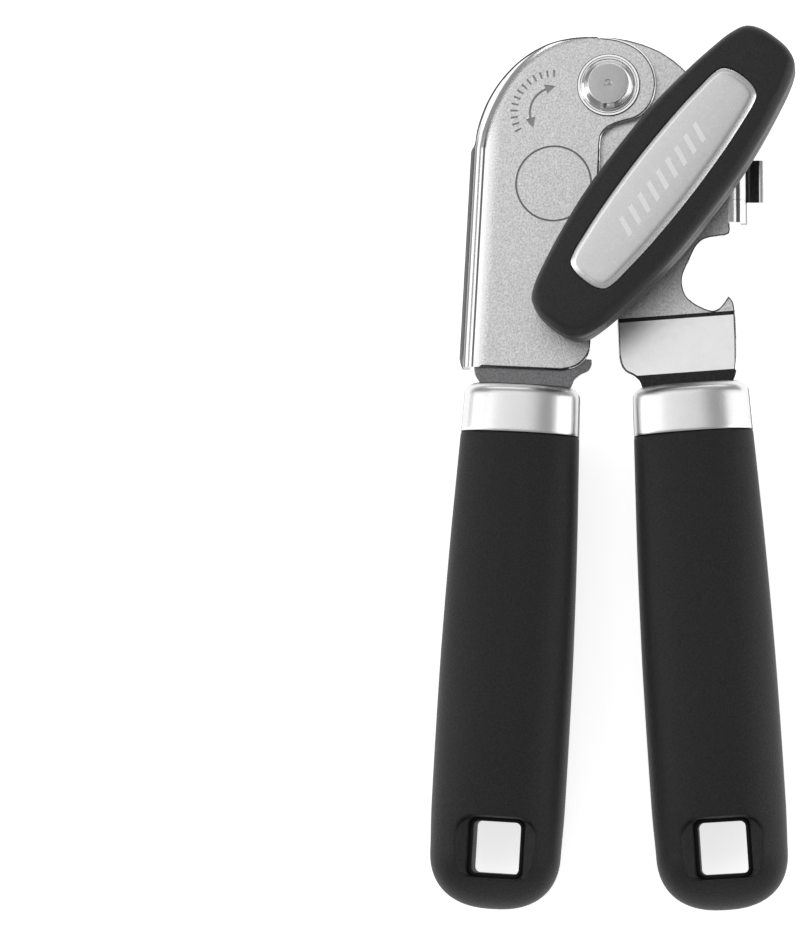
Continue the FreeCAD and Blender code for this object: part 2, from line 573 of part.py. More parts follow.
cutter_gear = body("cutter_gear")
s = sketch(cutter_gear, "cutter_gear_teeth", "XY_Plane", "gear_back")
outline(s, ring_of(gear_points(int(num("cutter_teeth")), 1)))
circle(s, "bush_out_rad")
pad(cutter_gear, s, "cutter_gear_pad", "gear_front-gear_back")
node(cutter_gear, CUTTER)

# ---------------------------------------------------------------- cutter stack
CUT_ON_PLATE = FreeCAD.Placement(SHIFT + V(cx, cy, 0), FreeCAD.Rotation())
node(turned("cutter_stud", [
    ("0", "stud_head_back"), ("stud_head_rad-0.6", "stud_head_back"), ("stud_head_rad", "stud_head_back+0.5"),
    ("stud_head_rad", "stud_head_top"), ("stud_rad", "stud_head_top"), ("stud_rad", "stud_collar_back"),
    ("stud_collar_rad", "stud_collar_back"), ("stud_collar_rad", "front_back"), ("stud_spigot_rad", "front_back"),
    ("stud_spigot_rad", "front_back+stud_spigot_long"), ("0", "front_back+stud_spigot_long")]), CUT_ON_PLATE)
node(turned("cutter_bush", [
    ("stud_rad+run_gap", "blade_back"), ("bush_out_rad", "blade_back"), ("bush_out_rad", "blade_front"),
    ("bush_collar_rad", "blade_front"), ("bush_collar_rad", "gear_back"), ("bush_out_rad", "gear_back"),
    ("bush_out_rad", "gear_front"), ("stud_rad+run_gap", "gear_front")]), CUTTER)
node(turned("cutter_wheel", [
    ("bush_out_rad", "blade_back"), ("blade_rad-blade_bevel", "blade_back"), ("blade_rad", "blade_front-0.1"),
    ("blade_rad-0.05", "blade_front"), ("bush_out_rad", "blade_front")]), CUTTER)

# ---------------------------------------------------------------- drive stack
node(turned("drive_bushing", [
    ("shaft_rad+run_gap", "rear_back"), ("bushing_out_rad", "rear_back"), ("bushing_out_rad", "rear_back+plate_thick"),
    ("bushing_flange_rad", "rear_back+plate_thick"), ("bushing_flange_rad", "bushing_flange_top"),
    ("bushing_barrel_rad", "bushing_flange_top"), ("bushing_barrel_rad", "bushing_top"),
    ("shaft_rad+run_gap", "bushing_top")]), FreeCAD.Placement(SHIFT + V(kx, ky, 0), FreeCAD.Rotation()))

shaft = body("drive_shaft")
s = sketch(shaft, "shaft_square", "XY_Plane", "retainer_back")
square(s)
pad(shaft, s, "shaft_square_pad", "knob_split-2-retainer_back")
s = sketch(shaft, "shaft_round", "XY_Plane", "gear_front+0.1")
circle(s, "shaft_rad")
pad(shaft, s, "shaft_round_pad", "thrust_front-gear_front-0.1")
s = sketch(shaft, "shaft_tapped", "XY_Plane", "knob_split-2")
circle(s, "1.5")
pocket(shaft, s, "shaft_tapped_hole", "6")
node(shaft, KNOB)
node(turned("drive_thrust_washer", [
    ("shaft_rad", "thrust_back"), ("thrust_rad", "thrust_back"), ("thrust_rad", "thrust_front"), ("shaft_rad", "thrust_front")]), KNOB)

feed = body("feed_wheel")
s = sketch(feed, "feed_serration", "XY_Plane", "feed_back")
n = int(num("feed_teeth"))
ra, rr = num("feed_rad"), num("feed_root")
pts = []
for k in range(n):
    for r, f in ((rr, -0.5), (ra, -0.14), (ra, 0.14)):
        a = 2 * math.pi * (k + f) / n
        pts.append((r * math.cos(a), r * math.sin(a)))
outline(s, ring_of(pts))
square(s)
pad(feed, s, "feed_serrated_pad", "feed_front-feed_back")
s = sketch(feed, "feed_hub", "XY_Plane", "feed_front")
circle(s, "feed_hub_rad")
square(s)
pad(feed, s, "feed_hub_pad", "gear_back-feed_front")
node(feed, KNOB)

retainer = body("feed_retainer")
s = sketch(retainer, "retainer_disc", "XY_Plane", "retainer_back")
circle(s, "retainer_rad")
square(s)
pad(retainer, s, "retainer_pad", "feed_back-retainer_back")
node(retainer, KNOB)

# ---------------------------------------------------------------- knob
KNOB_HALF = [(0, 12.8), (12, 12.5), (22, 11.35), (30, 9.95), (35.5, 8.6), (38.7, 6.9), (40.2, 4.0), (40.6, 0)]
INSERT_HALF = [(0, 7.35), (8, 7.2), (15, 6.85), (21, 6.3), (25.3, 5.75), (27.6, 4.9), (28.7, 2.9), (29.0, 0)]


def lens(half, inset=0.0):
    """Full oblong outline from its first quarter, drawn in by inset."""
    q = []
    n = len(half)
    for i, (x, y) in enumerate(half):
        if i == 0:
            nx, ny = 0.0, 1.0
        elif i == n - 1:
            nx, ny = 1.0, 0.0
        else:
            dx, dy = half[i + 1][0] - half[i - 1][0], half[i + 1][1] - half[i - 1][1]
            d = math.hypot(dx, dy)
            nx, ny = -dy / d, dx / d
        q.append((x - nx * inset, y - ny * inset))
    a = q
    b = [(x, -y) for x, y in reversed(q[:-1])]
    c = [(-x, -y) for x, y in q[1:]]
    d = [(-x, y) for x, y in reversed(q[1:-1])]
    return a + b + c + d


def round_off(b, name, rad, z):
    doc.recompute()
    names = ["Edge%d" % (i + 1) for i, e in enumerate(b.Tip.Shape.Edges)
             if abs(e.BoundBox.ZMin - z) < 1e-4 and abs(e.BoundBox.ZMax - z) < 1e-4 and e.BoundBox.XLength > 60]
    f = b.newObject("PartDesign::Fillet", name)
    f.Base = (b.Tip if f is not b.Tip else f.BaseFeature, names)
    f.Radius = num(rad)
    f.setExpression("Radius", ref(rad))
    doc.recompute()
    return f


base = body("knob_base")
s = sketch(base, "base_outline", "XY_Plane", "knob_back")
ring_curve(s, lens(KNOB_HALF))
last = pad(base, s, "base_pad", "knob_split-knob_back")
doc.recompute()
names = ["Edge%d" % (i + 1) for i, e in enumerate(last.Shape.Edges) if e.BoundBox.ZMax < num("knob_back") + 1e-4]
f = base.newObject("PartDesign::Fillet", "base_round")
f.Base = (last, names)
f.Radius = num("knob_low_round")
f.setExpression("Radius", ref("knob_low_round"))
s = sketch(base, "base_inside", "XY_Plane", "knob_split")
ring_curve(s, lens(KNOB_HALF, num("knob_wall")))
pocket(base, s, "base_hollow", "knob_split-knob_back-knob_wall")
s = sketch(base, "base_bosses", "XY_Plane", "knob_back+knob_wall-0.2")
circle(s, "hub_rad")
circle(s, "screw_boss_rad", "screw_span")
circle(s, "screw_boss_rad", "-screw_span")
pad(base, s, "base_bosses_pad", "knob_split-knob_back-knob_wall+0.2")
s = sketch(base, "base_hub", "XY_Plane", "hub_back")
circle(s, "hub_rad")
pad(base, s, "base_hub_pad", "knob_back-hub_back+0.5")
s = sketch(base, "base_square", "XY_Plane", "knob_split-2")
square(s)
pocket(base, s, "base_square_hole", "knob_split-2-hub_back+1")
s = sketch(base, "base_screw_holes", "XY_Plane", "knob_split+1")
circle(s, "1.5")
circle(s, "screw_rad", "screw_span")
circle(s, "screw_rad", "-screw_span")
pocket(base, s, "base_screw_bores", "knob_split-knob_back+2")
s = sketch(base, "base_counterbores", "XY_Plane", "knob_back+screw_head_high")
circle(s, "screw_head_rad", "screw_span")
circle(s, "screw_head_rad", "-screw_span")
pocket(base, s, "base_counterbore", "screw_head_high+1")
node(base, KNOB)

cover = body("knob_cover")
s = sketch(cover, "cover_outline", "XY_Plane", "knob_split")
ring_curve(s, lens(KNOB_HALF))
last = pad(cover, s, "cover_pad", "knob_top-knob_split")
doc.recompute()
names = ["Edge%d" % (i + 1) for i, e in enumerate(last.Shape.Edges) if e.BoundBox.ZMin > num("knob_top") - 1e-4]
f = cover.newObject("PartDesign::Fillet", "cover_round")
f.Base = (last, names)
f.Radius = num("knob_round")
f.setExpression("Radius", ref("knob_round"))
s = sketch(cover, "cover_recess", "XY_Plane", "knob_top")
ring_curve(s, lens(INSERT_HALF, -num("insert_gap")))
pocket(cover, s, "cover_insert_recess", "insert_deep")
s = sketch(cover, "cover_inside", "XY_Plane", "knob_split")
ring_curve(s, lens(KNOB_HALF, num("knob_wall")))
pocket(cover, s, "cover_hollow", "knob_top-insert_deep-1.4-knob_split", reverse=True)
s = sketch(cover, "cover_bosses", "XY_Plane", "knob_split")
circle(s, "screw_boss_rad", "screw_span")
circle(s, "screw_boss_rad", "-screw_span")
pad(cover, s, "cover_bosses_pad", "knob_top-insert_deep-1-knob_split")
s = sketch(cover, "cover_screw_holes", "XY_Plane", "knob_split")
circle(s, "screw_rad", "screw_span")
circle(s, "screw_rad", "-screw_span")
pocket(cover, s, "cover_screw_bores", "3.6", reverse=True)
node(cover, KNOB)

insert = body("knob_insert")
s = sketch(insert, "insert_outline", "XY_Plane", "knob_top-insert_deep")
ring_curve(s, lens(INSERT_HALF))
pad(insert, s, "insert_pad", "insert_deep+insert_proud")
node(insert, KNOB)

screws = [turned("knob_screw_%d" % i, [
    ("0", "knob_back+0.2"), ("screw_head_rad", "knob_back+0.2"), ("screw_head_rad", "knob_back+screw_head_high"),
    ("screw_rad", "knob_back+screw_head_high"), ("screw_rad", "knob_split+3.4"), ("0", "knob_split+3.4")]) for i in (1, 2)]
for b, x in zip(screws, (-num("screw_span"), num("screw_span"))):
    b.Placement = FreeCAD.Placement(V(x, 0, 0), FreeCAD.Rotation())
pair = doc.addObject("Part::Compound", "knob_screws")
pair.Label = "knob_screws"
pair.Links = screws
node(pair, KNOB)
node(turned("knob_retaining_screw", [
    ("0", "knob_split-7.5"), ("1.5", "knob_split-7.5"), ("1.5", "knob_split"), ("3", "knob_split"),
    ("3", "knob_split+1.6"), ("0", "knob_split+1.6")]), KNOB)

# ---------------------------------------------------------------- checks and export
doc.recompute()
bad = [o.Name for o in doc.Objects if "Invalid" in o.State or "Error" in o.State]
if bad:
    raise RuntimeError("objects failed: " + ", ".join(bad))
box = FreeCAD.BoundBox()
for o in NODES:
    sh = o.Shape
    if sh.isNull() or not sh.isValid() or not sh.Solids:
        raise RuntimeError("bad shape in " + o.Label)
    box.add(sh.BoundBox)
os.makedirs("parts", exist_ok=True)
for o in NODES:
    o.Shape.exportStep("parts/%s.step" % o.Label)
    print("%-22s solids %d volume %9.1f" % (o.Label, len(o.Shape.Solids), o.Shape.Volume))
print("nodes", len(NODES), "box", [round(v, 2) for v in (box.XMin, box.YMin, box.ZMin, box.XMax, box.YMax, box.ZMax)])
print("cutter axis", round(SHIFT.x + cx, 3), round(SHIFT.y + cy, 3), "drive axis", round(SHIFT.x + kx, 3), round(SHIFT.y + ky, 3),
      "pivot", round(SHIFT.x, 3), round(SHIFT.y, 3))
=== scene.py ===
import bpy, bmesh, json, math
import numpy as np
from mathutils import Vector, Matrix


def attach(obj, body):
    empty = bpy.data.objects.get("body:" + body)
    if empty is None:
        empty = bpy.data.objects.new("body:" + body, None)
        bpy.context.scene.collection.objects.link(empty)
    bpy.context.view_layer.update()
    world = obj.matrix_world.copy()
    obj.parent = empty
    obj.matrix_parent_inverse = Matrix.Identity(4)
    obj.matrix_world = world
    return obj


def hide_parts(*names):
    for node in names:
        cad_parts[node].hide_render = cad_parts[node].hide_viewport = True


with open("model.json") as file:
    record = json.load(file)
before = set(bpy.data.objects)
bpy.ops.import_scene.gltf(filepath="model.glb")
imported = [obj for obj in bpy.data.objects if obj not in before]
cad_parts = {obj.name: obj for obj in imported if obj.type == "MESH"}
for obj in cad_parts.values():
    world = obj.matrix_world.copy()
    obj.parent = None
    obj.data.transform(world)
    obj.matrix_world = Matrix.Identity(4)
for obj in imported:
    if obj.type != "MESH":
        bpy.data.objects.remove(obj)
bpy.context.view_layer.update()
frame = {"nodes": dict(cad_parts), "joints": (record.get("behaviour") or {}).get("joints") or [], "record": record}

# ------------------------------------------------------------------ frames
# every piece is drawn in millimetres about the handle pivot, as the design is,
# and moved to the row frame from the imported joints
J = {j["name"]: j for j in frame["joints"]}
PIV = np.array(J["handle_pivot"]["pos_m"]) * 1000.0
CUT = np.array(J["cutter_spin"]["pos_m"]) * 1000.0
DRV = np.array(J["key_spin"]["pos_m"]) * 1000.0
HALF_OPEN = 3.5
KNOB_ANGLE = 51.8


def frame_of(kind):
    if kind == "L":
        return PIV, -HALF_OPEN
    if kind == "R":
        return PIV, HALF_OPEN
    if kind == "K":
        return DRV, KNOB_ANGLE
    if kind == "C":
        return CUT, 0.0
    return PIV, 0.0


def to_world(pts, kind):
    pts = np.asarray(pts, float).reshape(-1, 3)
    o, a = frame_of(kind)
    a = math.radians(a)
    c, s = math.cos(a), math.sin(a)
    out = np.empty_like(pts)
    out[:, 0] = pts[:, 0] * c - pts[:, 1] * s + o[0]
    out[:, 1] = pts[:, 0] * s + pts[:, 1] * c + o[1]
    out[:, 2] = pts[:, 2] + o[2]
    return out / 1000.0


PIECES = {}


def make(name, verts, faces, kind, body, slot, replaces=(), smooth=35.0):
    """Mesh piece from local millimetres, riding on a body."""
    me = bpy.data.meshes.new(name)
    me.from_pydata([tuple(v) for v in to_world(verts, kind)], [], [tuple(f) for f in faces])
    me.validate()
    bm = bmesh.new()
    bm.from_mesh(me)
    bmesh.ops.remove_doubles(bm, verts=bm.verts, dist=1e-7)
    bmesh.ops.recalc_face_normals(bm, faces=bm.faces)
    for f in bm.faces:
        f.smooth = True
    lim = math.radians(smooth)
    for e in bm.edges:
        e.smooth = len(e.link_faces) != 2 or e.calc_face_angle(0.0) < lim
    bm.to_mesh(me)
    bm.free()
    ob = bpy.data.objects.new(name, me)
    bpy.context.scene.collection.objects.link(ob)
    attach(ob, body)
    if replaces:
        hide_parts(*replaces)
    PIECES[name] = ob
    return ob


def weigh(ob):
    m = ob.modifiers.new("flat_faces", "WEIGHTED_NORMAL")
    m.mode = "FACE_AREA"
    m.weight = 80
    m.keep_sharp = True
    return ob


def grid_faces(rows, cols, wrap=True, start=0):
    f = []
    n = cols if wrap else cols - 1
    for i in range(rows - 1):
        for j in range(n):
            a = start + i * cols + j
            b = start + i * cols + (j + 1) % cols
            f.append((a, b, b + cols, a + cols))
    return f


def lathe(profile, segs=128, close=True):
    """Solid of revolution about Z from a list of (radius, z) corners; ends on the axis or a closed ring."""
    v, f = [], []
    on_axis = profile[0][0] < 1e-9
    ring = [p for p in profile if p[0] > 1e-9]
    for r, z in ring:
        for k in range(segs):
            a = 2 * math.pi * k / segs
            v.append((r * math.cos(a), r * math.sin(a), z))
    f = grid_faces(len(ring), segs)
    if on_axis:
        v.append((0, 0, profile[0][1]))
        c = len(v) - 1
        f += [(c, (k + 1) % segs, k) for k in range(segs)]
        v.append((0, 0, profile[-1][1]))
        c = len(v) - 1
        b = (len(ring) - 1) * segs
        f += [(c, b + k, b + (k + 1) % segs) for k in range(segs)]
    elif close:
        b = (len(ring) - 1) * segs
        f += [(b + k, b + (k + 1) % segs, (k + 1) % segs, k) for k in range(segs)]
    return v, f


def rounded(profile, rad, steps=4, closed=False):
    """Corner rounding of an open or closed (r, z) profile; rad may be a number or one per corner."""
    n = len(profile)
    rads = rad if isinstance(rad, (list, tuple)) else [rad] * n
    out = []
    for i in range(n):
        p = np.array(profile[i], float)
        if (not closed and i in (0, n - 1)) or rads[i] <= 0:
            out.append(tuple(p))
            continue
        a = np.array(profile[i - 1], float)
        b = np.array(profile[(i + 1) % n], float)
        da, db = a - p, b - p
        la, lb = np.linalg.norm(da), np.linalg.norm(db)
        da, db = da / la, db / lb
        cosang = float(np.clip(da @ db, -1, 1))
        ang = math.acos(cosang)
        if ang > math.pi - 0.05:
            out.append(tuple(p))
            continue
        t = min(rads[i] / math.tan(ang / 2), la * 0.49, lb * 0.49)
        r = t * math.tan(ang / 2)
        bis = da + db
        bis /= np.linalg.norm(bis)
        c = p + bis * (r / math.sin(ang / 2))
        p0, p1 = p + da * t, p + db * t
        a0 = math.atan2(p0[1] - c[1], p0[0] - c[0])
        a1 = math.atan2(p1[1] - c[1], p1[0] - c[0])
        d = (a1 - a0 + math.pi) % (2 * math.pi) - math.pi
        for k in range(steps + 1):
            q = a0 + d * k / steps
            out.append((c[0] + r * math.cos(q), c[1] + r * math.sin(q)))
    return out


def catmull(pts, step, closed=False, alpha=0.5):
    """Points along a smooth curve through pts, about step apart."""
    pts = [np.array(p, float) for p in pts]
    n = len(pts)
    if closed:
        ctrl = [pts[-1]] + pts + [pts[0], pts[1]]
    else:
        ctrl = [2 * pts[0] - pts[1]] + pts + [2 * pts[-1] - pts[-2]]
    out = []
    for i in range(1, len(ctrl) - 2):
        p0, p1, p2, p3 = ctrl[i - 1:i + 3]
        t = [0.0]
        for a, b in ((p0, p1), (p1, p2), (p2, p3)):
            t.append(t[-1] + max(np.linalg.norm(b - a), 1e-6) ** alpha)
        k = max(1, int(round(np.linalg.norm(p2 - p1) / step)))
        for j in range(k):
            u = t[1] + (t[2] - t[1]) * j / k
            a1 = (t[1] - u) / (t[1] - t[0]) * p0 + (u - t[0]) / (t[1] - t[0]) * p1
            a2 = (t[2] - u) / (t[2] - t[1]) * p1 + (u - t[1]) / (t[2] - t[1]) * p2
            a3 = (t[3] - u) / (t[3] - t[2]) * p2 + (u - t[2]) / (t[3] - t[2]) * p3
            b1 = (t[2] - u) / (t[2] - t[0]) * a1 + (u - t[0]) / (t[2] - t[0]) * a2
            b2 = (t[3] - u) / (t[3] - t[1]) * a2 + (u - t[1]) / (t[3] - t[1]) * a3
            out.append((t[2] - u) / (t[2] - t[1]) * b1 + (u - t[1]) / (t[2] - t[1]) * b2)
    if not closed:
        out.append(pts[-1])
    return [tuple(p) for p in out]


def line(a, b, step):
    a, b = np.array(a, float), np.array(b, float)
    k = max(1, int(round(np.linalg.norm(b - a) / step)))
    return [tuple(a + (b - a) * i / k) for i in range(k + 1)]


def trace(runs, step):
    """Closed outline from straight and smooth runs sharing their ends (no repeated points)."""
    out = []
    for kind, pts in runs:
        if kind == "S":
            seg = catmull(pts, step)
        else:
            seg = []
            for a, b in zip(pts, pts[1:]):
                seg += line(a, b, step)[:-1]
            seg.append(tuple(pts[-1]))
        out += [tuple(p) for p in seg[:-1]]
    return out


def normals(path, closed=True):
    """Outward normals of a path walked with its material on the left hand side."""
    p = np.array(path, float)
    if closed:
        d = np.roll(p, -1, 0) - np.roll(p, 1, 0)
    else:
        d = np.gradient(p, axis=0)
    d /= np.linalg.norm(d, axis=1)[:, None]
    return np.stack([d[:, 1], -d[:, 0]], 1)


def area(path):
    p = np.array(path)
    q = np.roll(p, -1, 0)
    return 0.5 * float(np.sum(p[:, 0] * q[:, 1] - q[:, 0] * p[:, 1]))


def interp(xs, ys, x):
    """Monotone cubic through a table."""
    xs, ys = np.array(xs, float), np.array(ys, float)
    o = np.argsort(xs)
    xs, ys = xs[o], ys[o]
    h = np.diff(xs)
    d = np.diff(ys) / h
    m = np.zeros(len(xs))
    m[0], m[-1] = d[0], d[-1]
    for i in range(1, len(xs) - 1):
        m[i] = 0 if d[i - 1] * d[i] <= 0 else 2 * d[i - 1] * d[i] / (d[i - 1] + d[i])
    i = int(np.clip(np.searchsorted(xs, x) - 1, 0, len(xs) - 2))
    q = (x - xs[i]) / h[i]
    return ((2 * q ** 3 - 3 * q ** 2 + 1) * ys[i] + (q ** 3 - 2 * q ** 2 + q) * h[i] * m[i]
            + (3 * q ** 2 - 2 * q ** 3) * ys[i + 1] + (q ** 3 - q ** 2) * h[i] * m[i + 1])


def sstep(a, b, x):
    t = np.clip((x - a) / (b - a), 0, 1)
    return t * t * (3 - 2 * t)


def rr_sdf(dx, dy, hx, hy, r):
    qx, qy = np.abs(dx) - (hx - r), np.abs(dy) - (hy - r)
    return np.hypot(np.maximum(qx, 0), np.maximum(qy, 0)) + np.minimum(np.maximum(qx, qy), 0) - r


# ------------------------------------------------------------------ handle sleeves
FLOW, FTOP = -80.4, -69.2
GRIP = [(-80.4, 13.5, 7.8), (-92.0, 13.95, 8.2), (-104.0, 14.4, 8.7), (-119.0, 14.8, 9.4), (-135.0, 15.05, 10.1),
        (-150.0, 15.1, 10.5), (-164.0, 15.05, 10.4), (-174.0, 14.75, 9.6)]
POWER = 2.5
HX, HY, HW, HL = 0.5, -173.4, 9.9, 10.9       # hanging hole: offset from the sleeve's middle, place and size
END_Y = -187.18


def grip_dims(y):
    if y > -174.0:
        ys = [g[0] for g in GRIP]
        return 0.994 * interp(ys, [g[1] for g in GRIP], y), interp(ys, [g[2] for g in GRIP], y)
    u = min((-174.0 - y) / (END_Y * -1 - 174.0), 1.0)
    return 0.994 * 14.75 * max(1 - u ** 2.4, 0) ** (1 / 2.4), 9.6 * max(1 - u ** 1.95, 0) ** (1 / 1.95)


def sleeve(side, x0, body):
    central = sorted(set([round(x, 3) for x in np.concatenate([
        np.arange(-9.6, -5.2, 0.22), np.linspace(-5.2, 5.2, 27), np.arange(5.2, 9.7, 0.22)])]))
    central = np.array(central)
    n_out = 20
    rows_y = list(np.arange(-82.0, -162.0, -1.6)) + list(np.arange(-162.0, -165.8, -0.6)) + list(np.arange(-165.8, -181.2, -0.22))
    cap = [1 - (1 - q) ** 2 for q in np.linspace(0.0, 1.0, 26)][1:-1]
    rows_y += [-181.2 + (END_Y + 181.2) * q for q in cap]
    mouth = [(FLOW + 0.0, 0.75), (FLOW - 0.02, 0.42), (FLOW - 0.12, 0.17), (FLOW - 0.3, 0.04), (FLOW - 0.55, 0.0)]
    rows = []
    for y, inset in mouth + [(y, 0.0) for y in rows_y]:
        hw, ht = grip_dims(min(y, FLOW))
        rows.append((y, hw - inset, ht - inset))
    verts, keep = [], []
    ring = None
    for y, hw, ht in rows:
        c = central * min(1.0, hw * 0.72 / 9.6)
        t = np.linspace(0, 1, n_out + 1)[1:]
        xr = c[-1] + (hw - c[-1]) * np.sin(t * math.pi / 2)
        xf = np.concatenate([-xr[::-1], c, xr])
        u = np.clip(np.abs(xf) / hw, 0, 1)
        zf = ht * (1 - u ** POWER) ** (1 / POWER)
        zf[0] = zf[-1] = 0.0
        dx, dy = xf - HX, y - HY
        surf = zf.copy()
        floor = 7.35 + 1.0 * np.clip((np.abs(dx) - 6.3) / 2.65, 0, 1)
        m1 = sstep(0.30, -0.45, rr_sdf(dx, dy, 8.95, 6.85, 3.9))
        z = surf + (np.minimum(surf, floor) - surf) * m1
        m2 = sstep(0.16, -0.22, rr_sdf(dx, dy, 6.3, 6.75, 1.9))
        z = z + (np.minimum(z, 5.2) - z) * m2
        hole = rr_sdf(dx, dy, 5.6, 6.1, 1.4) < 0
        n = len(xf)
        ringpts = [(x + x0, y, zz) for x, zz in zip(xf, z)]
        back = [(x + x0, y, -zz) for x, zz in zip(xf[1:-1][::-1], z[1:-1][::-1])]
        verts += ringpts + back
        keep.append(hole)
        ring = len(ringpts) + len(back)
        nf = n
    faces = []
    R = len(rows)
    cutf = np.zeros((R - 1, nf - 1), bool)
    for i in range(R - 1):
        for j in range(nf - 1):
            cutf[i, j] = keep[i][j] and keep[i][j + 1] and keep[i + 1][j] and keep[i + 1][j + 1]

    def idx(i, j):
        return i * ring + j % ring

    def mirror(j):
        return j if j in (0, nf - 1) else ring - j
    for i in range(R - 1):
        for j in range(ring):
            if j < nf - 1:
                if cutf[i, j]:
                    continue
            else:
                jj = ring - j
                # back face between columns jj and jj-1 (mirrored)
                if cutf[i, jj - 1]:
                    continue
            faces.append((idx(i, j), idx(i, j + 1), idx(i + 1, j + 1), idx(i + 1, j)))
    # walls of the through opening, hidden behind the liner
    for i in range(R - 1):
        for j in range(nf - 1):
            if not cutf[i, j]:
                continue
            for (i0, j0), (i1, j1), ni, nj in (((i, j), (i, j + 1), i - 1, j), ((i + 1, j + 1), (i + 1, j), i + 1, j),
                                               ((i + 1, j), (i, j), i, j - 1), ((i, j + 1), (i + 1, j + 1), i, j + 1)):
                if not cutf[ni, nj]:
                    faces.append((idx(i0, j0), idx(i1, j1), idx(i1, mirror(j1)), idx(i0, mirror(j0))))
    # end cap and mouth
    verts.append((x0, END_Y - 0.0, 0.0))
    c = len(verts) - 1
    b = (R - 1) * ring
    faces += [(c, b + (k + 1) % ring, b + k) for k in range(ring)]
    faces.append(tuple(range(ring)))
    return make(side + "_grip_sleeve", verts, faces, "L" if side == "left" else "R", body, "grip_black",
                (side + "_grip",), smooth=50)


def rr_path(hx, hy, r, d, n=8):
    """Rounded rectangle grown by d, walked anticlockwise."""
    hx, hy, r = hx + d, hy + d, max(r + d, 0.05)
    out = []
    for cx, cy, a0 in ((hx - r, hy - r, 0), (-hx + r, hy - r, 90), (-hx + r, -hy + r, 180), (hx - r, -hy + r, 270)):
        for k in range(n + 1):
            a = math.radians(a0 + 90 * k / n)
            out.append((cx + r * math.cos(a), cy + r * math.sin(a)))
    return out


def liner(side, x0, body):
    half = rounded([(0.34, 0.0), (0.34, 5.6), (1.28, 5.6), (1.28, 0.0)], [0, 0.3, 0.3, 0], 4)
    loop = half + [(d, -z) for d, z in reversed(half[1:-1])]
    verts = []
    n = None
    for d, z in loop:
        p = rr_path(HW / 2, HL / 2, 0.9, d)
        n = len(p)
        verts += [(x0 + HX + x, HY + y, z) for x, y in p]
    faces = grid_faces(len(loop), n)
    b = (len(loop) - 1) * n
    faces += [(b + k, b + (k + 1) % n, (k + 1) % n, k) for k in range(n)]
    return make(side + "_hole_liner", verts, faces, "L" if side == "left" else "R", body, "core_black",
                (side + "_core",), smooth=60)


def oval_ring(y, hw, ht, x0, n=160, power=POWER):
    a = np.linspace(0, 2 * math.pi, 2001)[:-1]
    x = hw * np.sign(np.cos(a)) * np.abs(np.cos(a)) ** (2 / power)
    z = ht * np.sign(np.sin(a)) * np.abs(np.sin(a)) ** (2 / power)
    p = np.stack([x, z], 1)
    s = np.concatenate([[0], np.cumsum(np.linalg.norm(np.diff(np.vstack([p, p[:1]]), axis=0), axis=1))])
    q = np.linspace(0, s[-1], n + 1)[:-1]
    px = np.interp(q, s, np.append(p[:, 0], p[0, 0]))
    pz = np.interp(q, s, np.append(p[:, 1], p[0, 1]))
    return [(x0 + u, y, w) for u, w in zip(px, pz)]


def ferrule(side, x0, body):
    rows = [(FLOW + 0.02, 0.75), (FLOW + 0.02, 0.14), (FLOW + 0.05, 0.05), (FLOW + 0.14, 0.0)]
    rows += [(y, 0.0) for y in np.linspace(FLOW + 0.8, FTOP - 3.2, 6)]
    R = 2.6
    for k in range(0, 11):
        a = math.radians(9 * k)
        rows.append((FTOP - R + R * math.sin(a), R * (1 - math.cos(a))))
    rows += [(FTOP, 3.1), (FTOP, 3.6)]
    verts = []
    for y, inset in rows:
        q = (y - FLOW) / (FTOP - FLOW)
        hw, ht = 13.4 - 0.35 * q, 7.65 - 0.15 * q
        verts += oval_ring(y, hw - inset, ht - inset, x0)
    n = 160
    faces = grid_faces(len(rows), n)
    b = (len(rows) - 1) * n
    faces.append(tuple(reversed(range(n))))
    faces.append(tuple(range(b, b + n)))
    return weigh(make(side + "_ferrule_cap", verts, faces, "L" if side == "left" else "R", body, "ferrule_satin",
                      (side + "_ferrule",), smooth=40))


XL, XR = -15.6, 13.75
sleeve("left", XL, "front_frame")
sleeve("right", XR, "rear_frame")
liner("left", XL, "front_frame")
liner("right", XR, "rear_frame")
ferrule("left", XL, "front_frame")
ferrule("right", XR, "rear_frame")

# ------------------------------------------------------------------ sheet metal
T = 1.5


def blank(path, z_top, edge=0.3, thick=T, sharp=None, steps=3):
    """Flat blank with softly rounded sheared edges; sharp(i) is true where an edge meets a bend."""
    if area(path) < 0:
        path = path[::-1]
    p = np.array(path)
    nrm = normals(path)
    e = np.array([0.02 if sharp is not None and sharp(q) else edge for q in path])
    verts, rings = [], []
    for k in range(steps + 1):
        a = math.pi / 2 * k / steps
        d = e * (1 - math.sin(a))
        z = z_top - e * (1 - math.cos(a))
        rings.append((d, z))
    lower = [(d, 2 * z_top - thick - z) for d, z in reversed(rings)]
    for d, z in rings + lower:
        q = p - nrm * d[:, None]
        verts += [(x, y, zz) for (x, y), zz in zip(q, z)]
    n = len(path)
    faces = grid_faces(2 * steps + 2, n)
    faces.append(tuple(range(n)))
    b = (2 * steps + 1) * n
    faces.append(tuple(reversed(range(b, b + n))))
    return verts, faces


